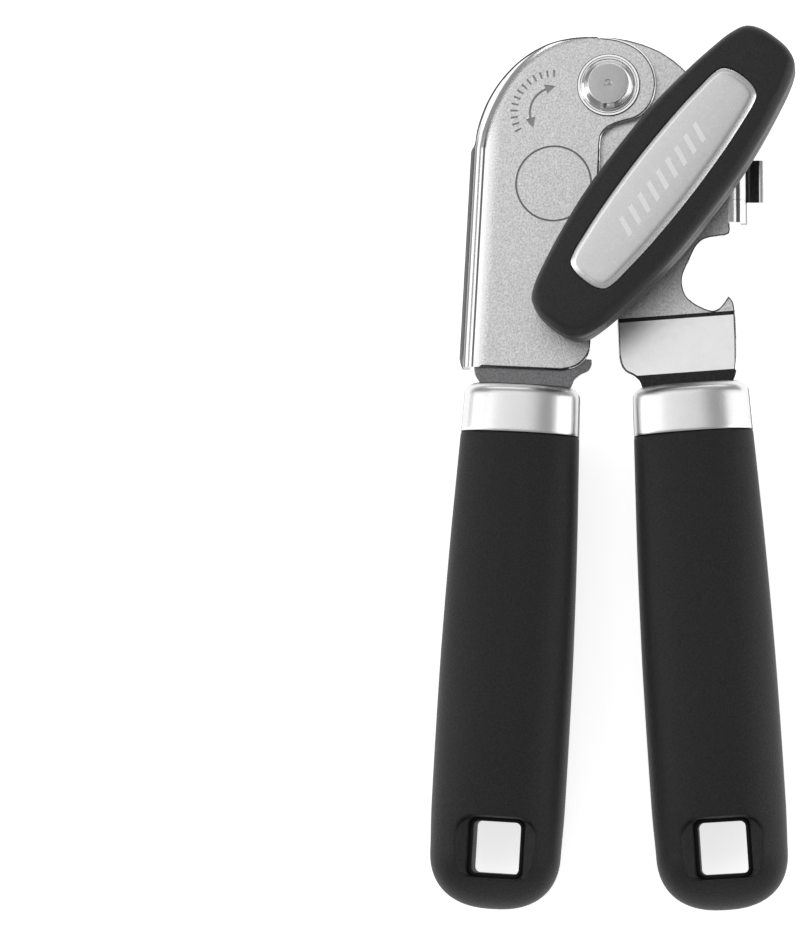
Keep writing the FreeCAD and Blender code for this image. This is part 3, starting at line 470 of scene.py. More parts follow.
def roll(path, out, z_top, rad, turn, flat, lip=None, thick=T, edge=0.3, arc=14, thin=None):
    """Strip of sheet rolled back from a flat boundary.
    path: points of the flat boundary; out: outward unit normals; turn: roll angle and
    flat: length beyond the roll, one per point; lip: length of an outward lip at the back."""
    verts = []
    count = None
    for (x, y), (nx, ny), ph, fl, lp in zip(path, out, turn, flat, lip if lip is not None else [0.0] * len(path)):
        ph = math.radians(ph)
        # centre line of the outer face as (distance outwards, z) with its inward normals
        pts, nn = [], []
        for k in range(arc + 1):
            a = ph * k / arc
            pts.append((rad * math.sin(a), z_top - rad * (1 - math.cos(a))))
            nn.append((-math.sin(a), -math.cos(a)))
        d = (math.cos(ph), -math.sin(ph))
        base = pts[-1]
        straight = max(fl - lp - edge, 0.01)
        for k in range(1, 4):
            pts.append((base[0] + d[0] * straight * k / 3, base[1] + d[1] * straight * k / 3))
            nn.append(nn[arc])
        if lip is not None:
            # small reverse curl to the outside
            q = pts[-1]
            rr = max(lp, 0.02)
            for k in range(1, 6):
                a = ph - ph * k / 5
                # outer face becomes concave: centre lies outwards
                cx, cz = q[0] + rr * math.sin(ph), q[1] + rr * math.cos(ph)
                pts.append((cx - rr * math.sin(a), cz - rr * math.cos(a)))
                nn.append((-math.sin(a), -math.cos(a)))
        outer = pts
        inner = [(o[0] + n[0] * thick, o[1] + n[1] * thick) for o, n in zip(pts, nn)]
        # rounded free end
        o, n = np.array(outer[-1]), np.array(nn[-1])
        t = np.array((-n[1], n[0]))
        if lip is None and (t @ np.array(d)) < 0:
            t = -t
        if lip is not None and t[0] < 0:
            t = -t
        end = []
        for k in range(1, 4):
            a = math.pi / 2 * k / 3
            end.append(o + t * edge * math.sin(a) + n * edge * (1 - math.cos(a)))
        for k in range(0, 3):
            a = math.pi / 2 * k / 3
            end.append(o + t * edge * math.cos(a) + n * (thick - edge * (1 - math.sin(a))))
        prof = outer + [tuple(q) for q in end] + inner[::-1]
        count = len(prof)
        verts += [(x + nx * a, y + ny * a, z) for a, z in prof]
    faces = grid_faces(len(path), count)
    faces.append(tuple(range(count)))
    b = (len(path) - 1) * count
    faces.append(tuple(reversed(range(b, b + count))))
    return verts, faces


def join(parts):
    v, f = [], []
    for pv, pf in parts:
        o = len(v)
        v += list(pv)
        f += [tuple(i + o for i in q) for q in pf]
    return v, f


FRONT_TOP = 1.9
LEFT_EDGE = [(-29.75, -65.6), (-29.95, -15.6)]
TOP_ARC = [(-29.95, -15.6), (-29.75, -11.2), (-28.35, -6.1), (-26.3, -1.9), (-23.4, 2.1), (-19.5, 5.9),
           (-14.7, 8.85), (-9.5, 10.45), (-3.1, 11.0), (2.5, 10.35), (7.0, 8.1), (9.9, 4.3), (10.75, 0.0),
           (9.7, -4.2), (7.0, -7.1), (3.2, -8.5), (0.4, -9.9), (-0.85, -11.6), (-1.05, -13.6)]
arc_pts = catmull(TOP_ARC, 0.5)
split = min(range(len(arc_pts)), key=lambda i: (arc_pts[i][0] + 3.1) ** 2 + (arc_pts[i][1] - 11.0) ** 2)
rolled_arc, plain_arc = arc_pts[:split + 1], arc_pts[split:]
silhouette = line(LEFT_EDGE[0], LEFT_EDGE[1], 1.2)[:-1] + rolled_arc
sil = np.array(silhouette)
d = np.gradient(sil, axis=0)
d /= np.linalg.norm(d, axis=1)[:, None]
outn = np.stack([-d[:, 1], d[:, 0]], 1)
s_len = np.concatenate([[0], np.cumsum(np.linalg.norm(np.diff(sil, axis=0), axis=1))])
s0 = 50.0                                      # the roll starts to run out above the straight side
q = np.clip((s_len - s0) / (s_len[-1] - s0), 0, 1)
BEND = 3.9
turn = 88.0 * (1 - q ** 1.15) + 5.0 * q ** 1.15
flat = 3.0 * (1 - sstep(0.0, 0.55, q)) + 0.55
lipl = 0.85 * (1 - sstep(0.0, 0.06, q)) * sstep(0.0, 1.5, s_len - 0.3)
width = BEND * np.sin(np.radians(turn)) + np.maximum(flat - lipl - 0.3, 0.01) * np.cos(np.radians(turn)) + 0.3 * np.cos(np.radians(turn))
flat_line = sil - outn * width[:, None]
strip = roll(flat_line, outn, FRONT_TOP, BEND, turn, flat, lip=lipl)
RIGHT_EDGE = [(-1.05, -13.6), (-0.5, -57.0)]
CORNER = [(-0.5, -57.0), (-0.62, -60.4), (-1.85, -62.9), (-4.1, -64.7), (-7.0, -65.5)]
blank_path = [tuple(p) for p in flat_line] + plain_arc[1:-1] + line(RIGHT_EDGE[0], RIGHT_EDGE[1], 2.0)[:-1] \
    + catmull(CORNER, 0.4)[:-1] + line((-7.0, -65.5), (float(flat_line[0][0]) + 0.6, -65.6), 2.0)
seam = {(round(float(a), 4), round(float(b), 4)) for a, b in flat_line}
front = blank(blank_path, FRONT_TOP, 0.55, sharp=lambda p: (round(float(p[0]), 4), round(float(p[1]), 4)) in seam)
neck_path = trace([("L", [(-0.4, -62.5), (-26.3, -62.5)]),
                   ("S", [(-26.3, -62.5), (-26.9, -65.0), (-26.5, -67.4), (-25.2, -69.2)]),
                   ("L", [(-25.2, -69.2), (-25.2, -72.5), (-4.95, -72.5), (-4.95, -69.5)]),
                   ("S", [(-4.95, -69.5), (-4.45, -68.5), (-4.1, -67.4), (-2.8, -66.1), (-0.9, -65.0), (-0.3, -63.6)]),
                   ("L", [(-0.3, -63.6), (-0.4, -62.5)])], 0.5)
neck = blank(neck_path, 0.75, 0.3)


def cutter_mesh(name, verts, faces, kind):
    me = bpy.data.meshes.new(name)
    me.from_pydata([tuple(v) for v in to_world(verts, kind)], [], [tuple(f) for f in faces])
    bm = bmesh.new()
    bm.from_mesh(me)
    bmesh.ops.recalc_face_normals(bm, faces=bm.faces)
    bm.to_mesh(me)
    bm.free()
    ob = bpy.data.objects.new(name, me)
    bpy.context.scene.collection.objects.link(ob)
    return ob


def prism(path, z0, z1):
    n = len(path)
    v = [(x, y, z0) for x, y in path] + [(x, y, z1) for x, y in path]
    return v, grid_faces(2, n) + [tuple(range(n)), tuple(reversed(range(n, 2 * n)))]


def carve(ob, cutters):
    """Cuts the marks into the sheet and keeps only the result."""
    for c in cutters:
        m = ob.modifiers.new("mark", "BOOLEAN")
        m.operation = "DIFFERENCE"
        m.solver = "EXACT"
        m.object = c
        dg = bpy.context.evaluated_depsgraph_get()
        me = bpy.data.meshes.new_from_object(ob.evaluated_get(dg))
        ob.modifiers.clear()
        old = ob.data
        ob.data = me
        bpy.data.meshes.remove(old)
        bpy.data.objects.remove(c, do_unlink=True)


front_ob = make("front_plate_blank", *front, "L", "front_frame", "plate_steel", ("front_plate",), smooth=30)
strip_ob = make("front_plate_roll", *strip, "L", "front_frame", "plate_steel", ("front_plate",), smooth=30)
neck_ob = make("front_plate_neck", *neck, "L", "front_frame", "plate_steel", ("front_plate",), smooth=30)

# embossed boss outline, turning arrow and plain ticks
CX, CY = -11.18, -23.04


def groove_ring(x, y, r, z, w, dep, segs=160):
    prof = [(r - w / 2 - 0.08, z + 0.1), (r - w / 4, z - dep), (r + w / 4, z - dep), (r + w / 2 + 0.08, z + 0.1)]
    v, f = lathe(prof, segs)
    return [(a + x, b + y, c) for a, b, c in v], f


def band(x, y, r, half, a0, a1, n):
    o = [(x + (r + half) * math.cos(math.radians(a0 + (a1 - a0) * k / n)), y + (r + half) * math.sin(math.radians(a0 + (a1 - a0) * k / n))) for k in range(n + 1)]
    i = [(x + (r - half) * math.cos(math.radians(a0 + (a1 - a0) * k / n)), y + (r - half) * math.sin(math.radians(a0 + (a1 - a0) * k / n))) for k in range(n + 1)]
    return o + i[::-1]


def arrow_head(x, y, r, a, way):
    a = math.radians(a)
    c, s = math.cos(a), math.sin(a)
    tx, ty = -s * way, c * way
    cx, cy = x + r * c, y + r * s
    return [(cx + c * 1.15 - tx * 0.3, cy + s * 1.15 - ty * 0.3), (cx + tx * 2.0, cy + ty * 2.0), (cx - c * 1.15 - tx * 0.3, cy - s * 1.15 - ty * 0.3)]


AX, AY, AR = -11.8, -6.75, 5.7
cuts = [cutter_mesh("c_ring", *groove_ring(CX, CY, 8.5, FRONT_TOP, 0.34, 0.3), "L"),
        cutter_mesh("c_arrow", *prism(band(AX, AY, AR, 0.24, 112, 199, 24), FRONT_TOP - 0.3, FRONT_TOP + 0.3), "L"),
        cutter_mesh("c_head0", *prism(arrow_head(AX, AY, AR, 112, -1), FRONT_TOP - 0.3, FRONT_TOP + 0.3), "L"),
        cutter_mesh("c_head1", *prism(arrow_head(AX, AY, AR, 199, 1), FRONT_TOP - 0.3, FRONT_TOP + 0.3), "L")]
for k in range(13):
    a = 92 + k * 9.8
    cuts.append(cutter_mesh("c_tick%d" % k, *prism(band(AX - 0.4, AY, 8.9, 0.8, a - 1.3, a + 1.3, 2), FRONT_TOP - 0.3, FRONT_TOP + 0.3), "L"))
carve(front_ob, cuts)
for o in (front_ob, strip_ob, neck_ob):
    weigh(o)

# rear plate
REAR_TOP = -0.4
rear_path = trace([
    ("S", [(-10.3, -1.0), (-10.4, 3.5), (-8.0, 8.2), (-4.2, 10.9), (-1.0, 11.7), (5.6, 10.35), (11.55, 7.7),
           (14.4, 5.6), (17.6, 2.4), (21.5, -4.3), (23.9, -11.8), (24.5, -16.5)]),
    ("L", [(24.5, -16.5), (25.1, -17.7), (25.72, -18.2), (24.82, -32.95), (25.1, -33.2)]),
    ("S", [(25.1, -33.2), (25.3, -34.6), (24.9, -35.7), (23.8, -36.1)]),
    ("L", [(23.8, -36.1), (20.6, -36.25)]),
    ("S", [(20.6, -36.25), (18.9, -36.7), (17.35, -38.0), (15.75, -40.75), (14.5, -43.05), (13.8, -45.0),
           (13.75, -47.0), (14.4, -49.0), (15.85, -50.55), (17.4, -51.6), (18.9, -52.35), (20.15, -52.7),
           (21.15, -52.35), (22.15, -51.5), (23.0, -50.4), (23.7, -49.6)]),
    ("S", [(23.7, -49.6), (24.45, -50.4), (24.95, -51.7), (25.0, -54.6)]),
    ("L", [(25.0, -54.6), (24.9, -59.4), (24.6, -64.6)]),
    ("S", [(24.6, -64.6), (24.25, -67.15), (23.5, -68.9), (22.3, -69.9)]),
    ("L", [(22.3, -69.9), (22.2, -72.5), (3.8, -72.5), (3.8, -70.4)]),
    ("S", [(3.8, -70.4), (3.05, -69.4), (2.4, -67.5), (1.15, -66.4), (-0.6, -65.3), (-1.5, -63.7), (-1.9, -61.3)]),
    ("L", [(-1.9, -61.3), (-1.75, -52.7)]),
    ("S", [(-1.75, -52.7), (-2.3, -44.2), (-4.6, -32.5), (-5.4, -23.3), (-5.4, -14.1), (-7.6, -7.0), (-10.3, -1.0)])], 0.5)


def on_guide(p):
    """True on the line where the guide is bent from the sheet."""
    q = (-18.2 - p[1]) / 14.75
    return -0.001 <= q <= 1.001 and abs(p[0] - (25.72 - 0.90 * q)) < 0.03


rv, rf = blank(rear_path, REAR_TOP, 0.5, sharp=on_guide)


def joggled(v, f, steps, shift):
    """Cuts the sheet across at the bend stations and lifts it to the neck's height."""
    bm = bmesh.new()
    vs = [bm.verts.new(p) for p in v]
    for q in f:
        bm.faces.new([vs[i] for i in q])
    bm.verts.index_update()
    for y in steps:
        bmesh.ops.bisect_plane(bm, geom=bm.verts[:] + bm.edges[:] + bm.faces[:], dist=1e-6, plane_co=(0, y, 0), plane_no=(0, 1, 0))
    for w in bm.verts:
        w.co.z += shift(w.co.y)
    bm.verts.index_update()
    out = [tuple(w.co) for w in bm.verts], [tuple(w.index for w in q.verts) for q in bm.faces]
    bm.free()
    return out


def soft_ramp(y, y0=-53.6, y1=-66.0, rise=1.15, soft=0.9):
    g = rise / (y0 - y1)

    def ramp(t):                                # smoothed hinge function of slope 1
        if t <= -soft:
            return 0.0
        if t >= soft:
            return t
        return (t + soft) ** 2 / (4 * soft)
    return g * (ramp(y0 - y) - ramp(y1 - y))


stations = [y0 + k * 0.45 for y0 in (-53.6, -66.0) for k in range(-2, 3)]
rv, rf = joggled(rv, rf, stations, soft_ramp)
rear_ob = weigh(make("rear_plate_blank", rv, rf, "R", "rear_frame", "plate_steel", ("rear_plate",), smooth=30))

GX, GB = 29.45, 4.2


def guide_strip(y0, y1, tab):
    """Can guide flange between two heights, with or without the part turned out over the can wall."""
    path = [(GX - GB, y0), (GX - GB, (y0 + y1) / 2), (GX - GB, y1)]
    back = -7.5
    if tab:
        prof = [(-0.03, REAR_TOP), (0, REAR_TOP)]
        prof += [(GB * math.sin(a), REAR_TOP - GB * (1 - math.cos(a))) for a in np.linspace(0, math.pi / 2, 13)[1:]]
        zt = back + T
        prof += [(GB, zt + 0.9)] + [(GB + 0.9 * (1 - math.cos(a)), zt + 0.9 * (1 - math.sin(a))) for a in np.linspace(0, math.pi / 2, 6)[1:]]
        prof += [(GB + 2.7, zt), (GB + 3.3, zt), (GB + 3.6, zt - 0.12), (GB + 3.75, zt - 0.4), (GB + 3.75, back + 0.4), (GB + 3.6, back + 0.12), (GB + 3.3, back)]
        prof += [(GB - T + 2.4 * (1 - math.sin(a)) , back + 2.4 * (1 - math.cos(a))) for a in np.linspace(0, math.pi / 2, 7)]
    else:
        prof = [(-0.03, REAR_TOP), (0, REAR_TOP)]
        prof += [(GB * math.sin(a), REAR_TOP - GB * (1 - math.cos(a))) for a in np.linspace(0, math.pi / 2, 13)[1:]]
        prof += [(GB, back + 0.3), (GB - 0.1, back + 0.1), (GB - 0.3, back), (GB - T + 0.3, back), (GB - T + 0.1, back + 0.1), (GB - T, back + 0.3)]
    ri = GB - T
    prof += [(ri * math.sin(a), REAR_TOP - GB + ri * math.cos(a)) for a in np.linspace(math.pi / 2, 0, 11)]
    prof += [(-0.03, REAR_TOP - T)]
    verts = []
    for x, y in path:
        verts += [(x + a, y, z) for a, z in prof]
    n = len(prof)
    faces = grid_faces(len(path), n)
    faces.append(tuple(range(n)))
    faces.append(tuple(reversed(range((len(path) - 1) * n, len(path) * n))))
    out = []
    a = math.radians(-HALF_OPEN)
    for x, y, z in verts:
        dx, dy = x - GX, y + 25.8
        out.append((GX + dx * math.cos(a) - dy * math.sin(a), -25.8 + dx * math.sin(a) + dy * math.cos(a), z))
    return out, faces


for gname, g in (("can_guide_tab", guide_strip(-18.4, -28.1, True)), ("can_guide_flange", guide_strip(-27.9, -33.2, False))):
    ob = make(gname, *g, "R", "rear_frame", "plate_steel", ("rear_plate",), smooth=30)
    b = ob.modifiers.new("soft_ends", "BEVEL")
    b.width = 0.00045 if gname == "can_guide_tab" else 0.00022
    b.segments = 2
    b.limit_method = "ANGLE"
    b.angle_limit = math.radians(60)
    weigh(ob)

# ------------------------------------------------------------------ turned parts
def turned(name, prof, rad, kind, body, slot, replaces, steps=4, closed=False, segs=144, at=None):
    v, f = lathe(rounded(prof, rad, steps, closed), segs)
    if at is not None:
        v = [(a + at[0], b + at[1], c) for a, b, c in v]
    return weigh(make(name, v, f, kind, body, slot, replaces, smooth=30))


RT = 2.35                                       # top of the dish washer
turned("pivot_rivet_head", [(0, -3.6), (3.9, -3.6), (4.6, -2.95), (4.6, -2.5), (3.5, -2.5), (3.5, RT), (6.1, RT), (6.1, RT + 0.5),
                            (5.55, RT + 0.62), (4.6, RT + 2.1), (0.9, RT + 2.1), (0.7, RT + 2.0), (0.45, RT + 2.0), (0.3, RT + 2.1), (0, RT + 2.1)],
       [0, 0.3, 0.3, 0, 0, 0, 0.12, 0.2, 0.35, 0.3, 0.1, 0.05, 0.05, 0.05, 0], "P", "rear_frame", "bright_steel", ("pivot_rivet",))
turned("pivot_dish", [(3.5, 1.95), (7.0, 1.95), (7.2, 2.2), (6.95, RT), (6.55, RT), (6.35, RT - 0.12), (3.5, RT - 0.12)],
       [0, 0.1, 0.12, 0.1, 0.1, 0.1, 0], "P", "rear_frame", "bright_steel", ("pivot_dish_washer",), closed=True)

# ------------------------------------------------------------------ turning knob
KNOB_HALF = [(0, 12.8), (12, 12.5), (22, 11.35), (30, 9.95), (35.5, 8.6), (38.7, 6.9), (40.2, 4.0), (40.6, 0)]
INSERT_HALF = [(0, 7.35), (8, 7.2), (15, 6.85), (21, 6.3), (25.3, 5.75), (27.6, 4.9), (28.7, 2.9), (29.0, 0)]
NQ = 72


def quarter(half):
    """Even points along the first quarter of an oblong outline, from its side to its end."""
    full = [(-x, y) for x, y in half[1:4][::-1]] + list(half) + [(x, -y) for x, y in half[-4:-1][::-1]]
    c = catmull(full, 0.05)
    c = np.array(c)
    i0 = int(np.argmin(np.abs(c[:, 0]) + (c[:, 1] < 0) * 99))
    i1 = int(np.argmin(np.abs(c[:, 1]) + (c[:, 0] < 0) * 99))
    c = c[i0:i1 + 1]
    c[0, 0] = 0.0
    c[-1, 1] = 0.0
    s = np.concatenate([[0], np.cumsum(np.linalg.norm(np.diff(c, axis=0), axis=1))])
    # more points round the tight end
    t = np.linspace(0, 1, NQ + 1)
    t = 1 - (1 - t) ** 1.35
    q = t * s[-1]
    return np.stack([np.interp(q, s, c[:, 0]), np.interp(q, s, c[:, 1])], 1)


def oblong(half, inset=0.0):
    q = quarter(half)
    d = np.gradient(q, axis=0)
    d[0] = (1, 0)
    d[-1] = (0, -1)
    d /= np.linalg.norm(d, axis=1)[:, None]
    n = np.stack([-d[:, 1], d[:, 0]], 1)
    q = q - n * inset
    q[0, 0] = 0
    q[-1, 1] = 0
    full = np.vstack([q[:-1], (q * [1, -1])[::-1][:-1], (q * [-1, -1])[:-1], (q * [-1, 1])[::-1][:-1]])
    return full[::-1]


KTOP, KSPLIT, KBACK = 20.6, 14.2, 7.5


def crown(x, y):
    return KTOP - 0.95 * (np.abs(y) / 12.8) ** 2.4 - 0.35 * (np.abs(x) / 40.6) ** 3


def insert_line(inset):
    return oblong(INSERT_HALF, inset) * [0.988, 1.0] + [0.35, 0.0]


def cover():
    rings = []
    zc = lambda p: crown(p[:, 0], p[:, 1])
    o = oblong(KNOB_HALF, 1.6)
    rings.append((o, np.full(len(o), KSPLIT + 0.05)))
    for dd, zz in ((0.32, KSPLIT + 0.05), (0.12, KSPLIT + 0.12), (0.02, KSPLIT + 0.3), (0.0, KSPLIT + 0.6), (0.03, KSPLIT + 1.8), (0.06, KSPLIT + 3.2)):
        o = oblong(KNOB_HALF, dd)
        rings.append((o, np.full(len(o), zz)))
    r = 2.2
    for k in range(1, 12):
        a = math.pi / 2 * k / 11
        o = oblong(KNOB_HALF, 0.06 + r * (1 - math.cos(a)))
        zt = zc(o)
        rings.append((o, KSPLIT + 3.2 + (zt - KSPLIT - 3.2) * math.sin(a)))
    outer = rings[-1][0]
    inner = insert_line(-0.34)
    for q in (0.2, 0.4, 0.6, 0.8, 0.93, 1.0):
        o = outer * (1 - q) + inner * q
        rings.append((o, zc(o)))
    # softened edge of the recess, its wall and floor
    for dd, dz in ((-0.2, -0.04), (-0.12, -0.16), (-0.1, -0.5), (-0.1, -1.0)):
        o = insert_line(dd)
        rings.append((o, zc(o) + dz))
    for q in (0.55, 0.15):
        o = insert_line(0) * q
        rings.append((o, np.full(len(o), KTOP - 1.3)))
    v = []
    for o, z in rings:
        v += [(x, y, zz) for (x, y), zz in zip(o, z)]
    n = len(rings[0][0])
    f = grid_faces(len(rings), n)
    f.append(tuple(reversed(range(n))))
    b = (len(rings) - 1) * n
    f.append(tuple(range(b, b + n)))
    return v, f


def insert():
    rings = []
    rim = [(0.0, -0.95), (0.0, -0.42), (0.04, -0.32)]
    rim += [(dd, 0.10 - 0.38 * (1 - dd / 2.0) ** 2) for dd in (0.12, 0.3, 0.55, 0.85, 1.2, 1.6, 2.0)]
    for dd, dz in rim:
        o = insert_line(dd)
        rings.append((o, crown(o[:, 0], o[:, 1]) + dz))
    base = insert_line(2.0)
    for q in np.linspace(0.93, 0.07, 12):
        o = base * q
        rings.append((o, crown(o[:, 0], o[:, 1]) + 0.10))
    v = []
    for o, z in rings:
        v += [(x, y, zz) for (x, y), zz in zip(o, np.minimum(z, KTOP + 0.15))]
    n = len(rings[0][0])
    f = grid_faces(len(rings), n)
    f.append(tuple(reversed(range(n))))
    b = (len(rings) - 1) * n
    f.append(tuple(range(b, b + n)))
    return v, f


def bar(u0, half_w, half_h, lean):
    """One thin slanted bar lying on the crowned plate."""
    nu, nw = 4, 10
    top = []
    for i in range(nw + 1):
        w_ = -half_h + 2 * half_h * i / nw
        for j in range(nu + 1):
            u_ = u0 + lean * w_ - half_w + 2 * half_w * j / nu
            top.append((u_, w_))
    v = [(x, y, float(crown(x, y)) + 0.13) for x, y in top] + [(x, y, float(crown(x, y)) + 0.02) for x, y in top]
    n = len(top)
    f = grid_faces(nw + 1, nu + 1, wrap=False) + [tuple(reversed([q + n for q in g])) for g in grid_faces(nw + 1, nu + 1, wrap=False)]
    rim = [j for j in range(nu + 1)] + [(i + 1) * (nu + 1) - 1 for i in range(1, nw + 1)] \
        + [nw * (nu + 1) + j for j in range(nu - 1, -1, -1)] + [i * (nu + 1) for i in range(nw - 1, 0, -1)]
    for a_, b_ in zip(rim, rim[1:] + rim[:1]):
        f.append((b_, a_, a_ + n, b_ + n))
    return v, f


make("knob_insert_bars", *join([bar(u0, 0.62, 2.1, 0.42) for u0 in np.linspace(-13.2, 13.2, 9)]), "K", "key", "satin_insert", ("knob_insert",), smooth=40)
make("knob_cover_shell", *cover(), "K", "key", "knob_black", ("knob_cover",), smooth=50)
make("knob_insert_plate", *insert(), "K", "key", "satin_insert", ("knob_insert",), smooth=60)

# ------------------------------------------------------------------ materials
def nodes_of(name):
    m = bpy.data.materials.new(name)
    m.use_nodes = True
    nt = m.node_tree
    b = nt.nodes["Principled BSDF"]
    return m, nt, b


def noise(nt, scale, detail=3.0, rough=0.55, vec=None):
    n = nt.nodes.new("ShaderNodeTexNoise")
    n.inputs["Scale"].default_value = scale
    n.inputs["Detail"].default_value = detail
    n.inputs["Roughness"].default_value = rough
    nt.links.new((vec or coords(nt)), n.inputs["Vector"])
    return n.outputs["Fac"]


def coords(nt):
    for n in nt.nodes:
        if n.bl_idname == "ShaderNodeTexCoord":
            return n.outputs["Object"]
    return nt.nodes.new("ShaderNodeTexCoord").outputs["Object"]


def ramp(nt, fac, stops):
    n = nt.nodes.new("ShaderNodeValToRGB")
    e = n.color_ramp.elements
    while len(e) < len(stops):
        e.new(0.5)
    for k, (p, c) in enumerate(stops):
        e[k].position = p
        e[k].color = (c, c, c, 1) if isinstance(c, float) else (*c, 1)
    nt.links.new(fac, n.inputs["Fac"])
    return n.outputs["Color"]


def bump(nt, height, strength, dist, prev=None):
    n = nt.nodes.new("ShaderNodeBump")
    n.inputs["Strength"].default_value = strength
    n.inputs["Distance"].default_value = dist
    nt.links.new(height, n.inputs["Height"])
    if prev is not None:
        nt.links.new(prev, n.inputs["Normal"])
    return n.outputs["Normal"]


def mapping(nt, scale, rot=(0, 0, 0)):
    n = nt.nodes.new("ShaderNodeMapping")
    n.inputs["Scale"].default_value = scale
    n.inputs["Rotation"].default_value = rot
    nt.links.new(coords(nt), n.inputs["Vector"])
    return n.outputs["Vector"]


def maprange(nt, v, a, b, c, d):
    n = nt.nodes.new("ShaderNodeMapRange")
    for k, x in zip(("From Min", "From Max", "To Min", "To Max"), (a, b, c, d)):
        n.inputs[k].default_value = x
    nt.links.new(v, n.inputs["Value"])
    return n.outputs["Result"]


def plastic(name, col, rough, grain, grain_scale, spec=0.5):
    m, nt, b = nodes_of(name)
    f = noise(nt, grain_scale, 4.0, 0.6)
    speck = noise(nt, grain_scale * 1.15, 2.0, 0.5)
    c = ramp(nt, speck, [(0.36, tuple(x * 0.62 for x in col)), (0.64, tuple(x * 1.45 for x in col))])
    nt.links.new(c, b.inputs["Base Color"])
    nt.links.new(maprange(nt, f, 0.3, 0.7, rough - 0.05, rough + 0.07), b.inputs["Roughness"])
    nt.links.new(bump(nt, f, grain, 0.00012), b.inputs["Normal"])
    b.inputs["Specular IOR Level"].default_value = spec
    return m


def steel(name, col, rough, grain, scale, vary=0.06, stretch=None, metal=1.0, aniso=0.0):
    m, nt, b = nodes_of(name)
    vec = mapping(nt, stretch) if stretch else coords(nt)
    f = noise(nt, scale, 4.0, 0.6, vec)
    g = noise(nt, scale * 0.5, 2.0, 0.5, vec)
    c = ramp(nt, f, [(0.32, tuple(x * (1 - vary) for x in col)), (0.68, tuple(min(x * (1 + vary), 1.0) for x in col))])
    nt.links.new(c, b.inputs["Base Color"])
    nt.links.new(maprange(nt, g, 0.3, 0.7, rough - 0.02, rough + 0.025), b.inputs["Roughness"])
    if grain > 0:
        nt.links.new(bump(nt, f, grain, 0.0001), b.inputs["Normal"])
    b.inputs["Metallic"].default_value = metal
    b.inputs["Anisotropic"].default_value = aniso
    return m




def local(nt, kind):
    """Object coordinates turned into a body's own frame, in metres."""
    o, a = frame_of(kind)
    a = math.radians(-a)
    n = nt.nodes.new("ShaderNodeMapping")
    n.inputs["Rotation"].default_value = (0, 0, a)
    c, q = math.cos(a), math.sin(a)
    x, y, z = (v / 1000 for v in o)
    n.inputs["Location"].default_value = (-(x * c - y * q), -(x * q + y * c), -z)
    nt.links.new(coords(nt), n.inputs["Vector"])
    sep = nt.nodes.new("ShaderNodeSeparateXYZ")
    nt.links.new(n.outputs["Vector"], sep.inputs["Vector"])
    return sep.outputs


def painted_reflection_bands(name, kind, col, rough, grain, scale, vary, axis, lo, hi, stops, smooth_rough, run_out=None):
    """Satin sheet with painted reflection bands, bright and dark, across a bend, laid out along one axis between lo
    and hi (mm); run_out blends them along Y towards a plain bright painted tone.
    """
    m, nt, b = nodes_of(name)
    f = noise(nt, scale, 4.0, 0.6)
    t = maprange(nt, local(nt, kind)[axis], lo / 1000, hi / 1000, 0.0, 1.0)
    tone = ramp(nt, t, [(q, v) for q, v, _ in stops])
    cover_ = ramp(nt, t, [(q, k) for q, _, k in stops])
    c = ramp(nt, f, [(0.32, tuple(x * (1 - vary) for x in col)), (0.68, tuple(min(x * (1 + vary), 1.0) for x in col))])
    if run_out is not None:
        y0, y1, z0, z1 = run_out
        along = maprange(nt, local(nt, kind)["Y"], y0 / 1000, y1 / 1000, 0.0, 1.0)
        deep = maprange(nt, local(nt, kind)["Z"], z0 / 1000, z1 / 1000, 0.0, 1.0)
        plain = ramp(nt, deep, [(0.0, 0.0), (1.0, 1.0)])
        for source, goal in (("tone", None), ("cover", plain)):
            mx = nt.nodes.new("ShaderNodeMix")
            mx.data_type = "RGBA"
            nt.links.new(along, mx.inputs[0])
            nt.links.new(tone if goal is None else cover_, mx.inputs[6])
            if goal is None:
                mx.inputs[7].default_value = (0.88, 0.88, 0.885, 1)
                tone = mx.outputs[2]
            else:
                nt.links.new(goal, mx.inputs[7])
                cover_ = mx.outputs[2]
    mix = nt.nodes.new("ShaderNodeMix")
    mix.data_type = "RGBA"
    nt.links.new(cover_, mix.inputs[0])
    nt.links.new(c, mix.inputs[6])
    nt.links.new(tone, mix.inputs[7])
    nt.links.new(mix.outputs[2], b.inputs["Base Color"])
    nt.links.new(maprange(nt, cover_, 0.0, 1.0, rough, smooth_rough), b.inputs["Roughness"])
    bn = nt.nodes.new("ShaderNodeBump")
    bn.inputs["Distance"].default_value = 0.0001
    nt.links.new(maprange(nt, cover_, 0.0, 1.0, grain, 0.03), bn.inputs["Strength"])
    nt.links.new(f, bn.inputs["Height"])
    nt.links.new(bn.outputs["Normal"], b.inputs["Normal"])
    b.inputs["Metallic"].default_value = 1.0
    return m


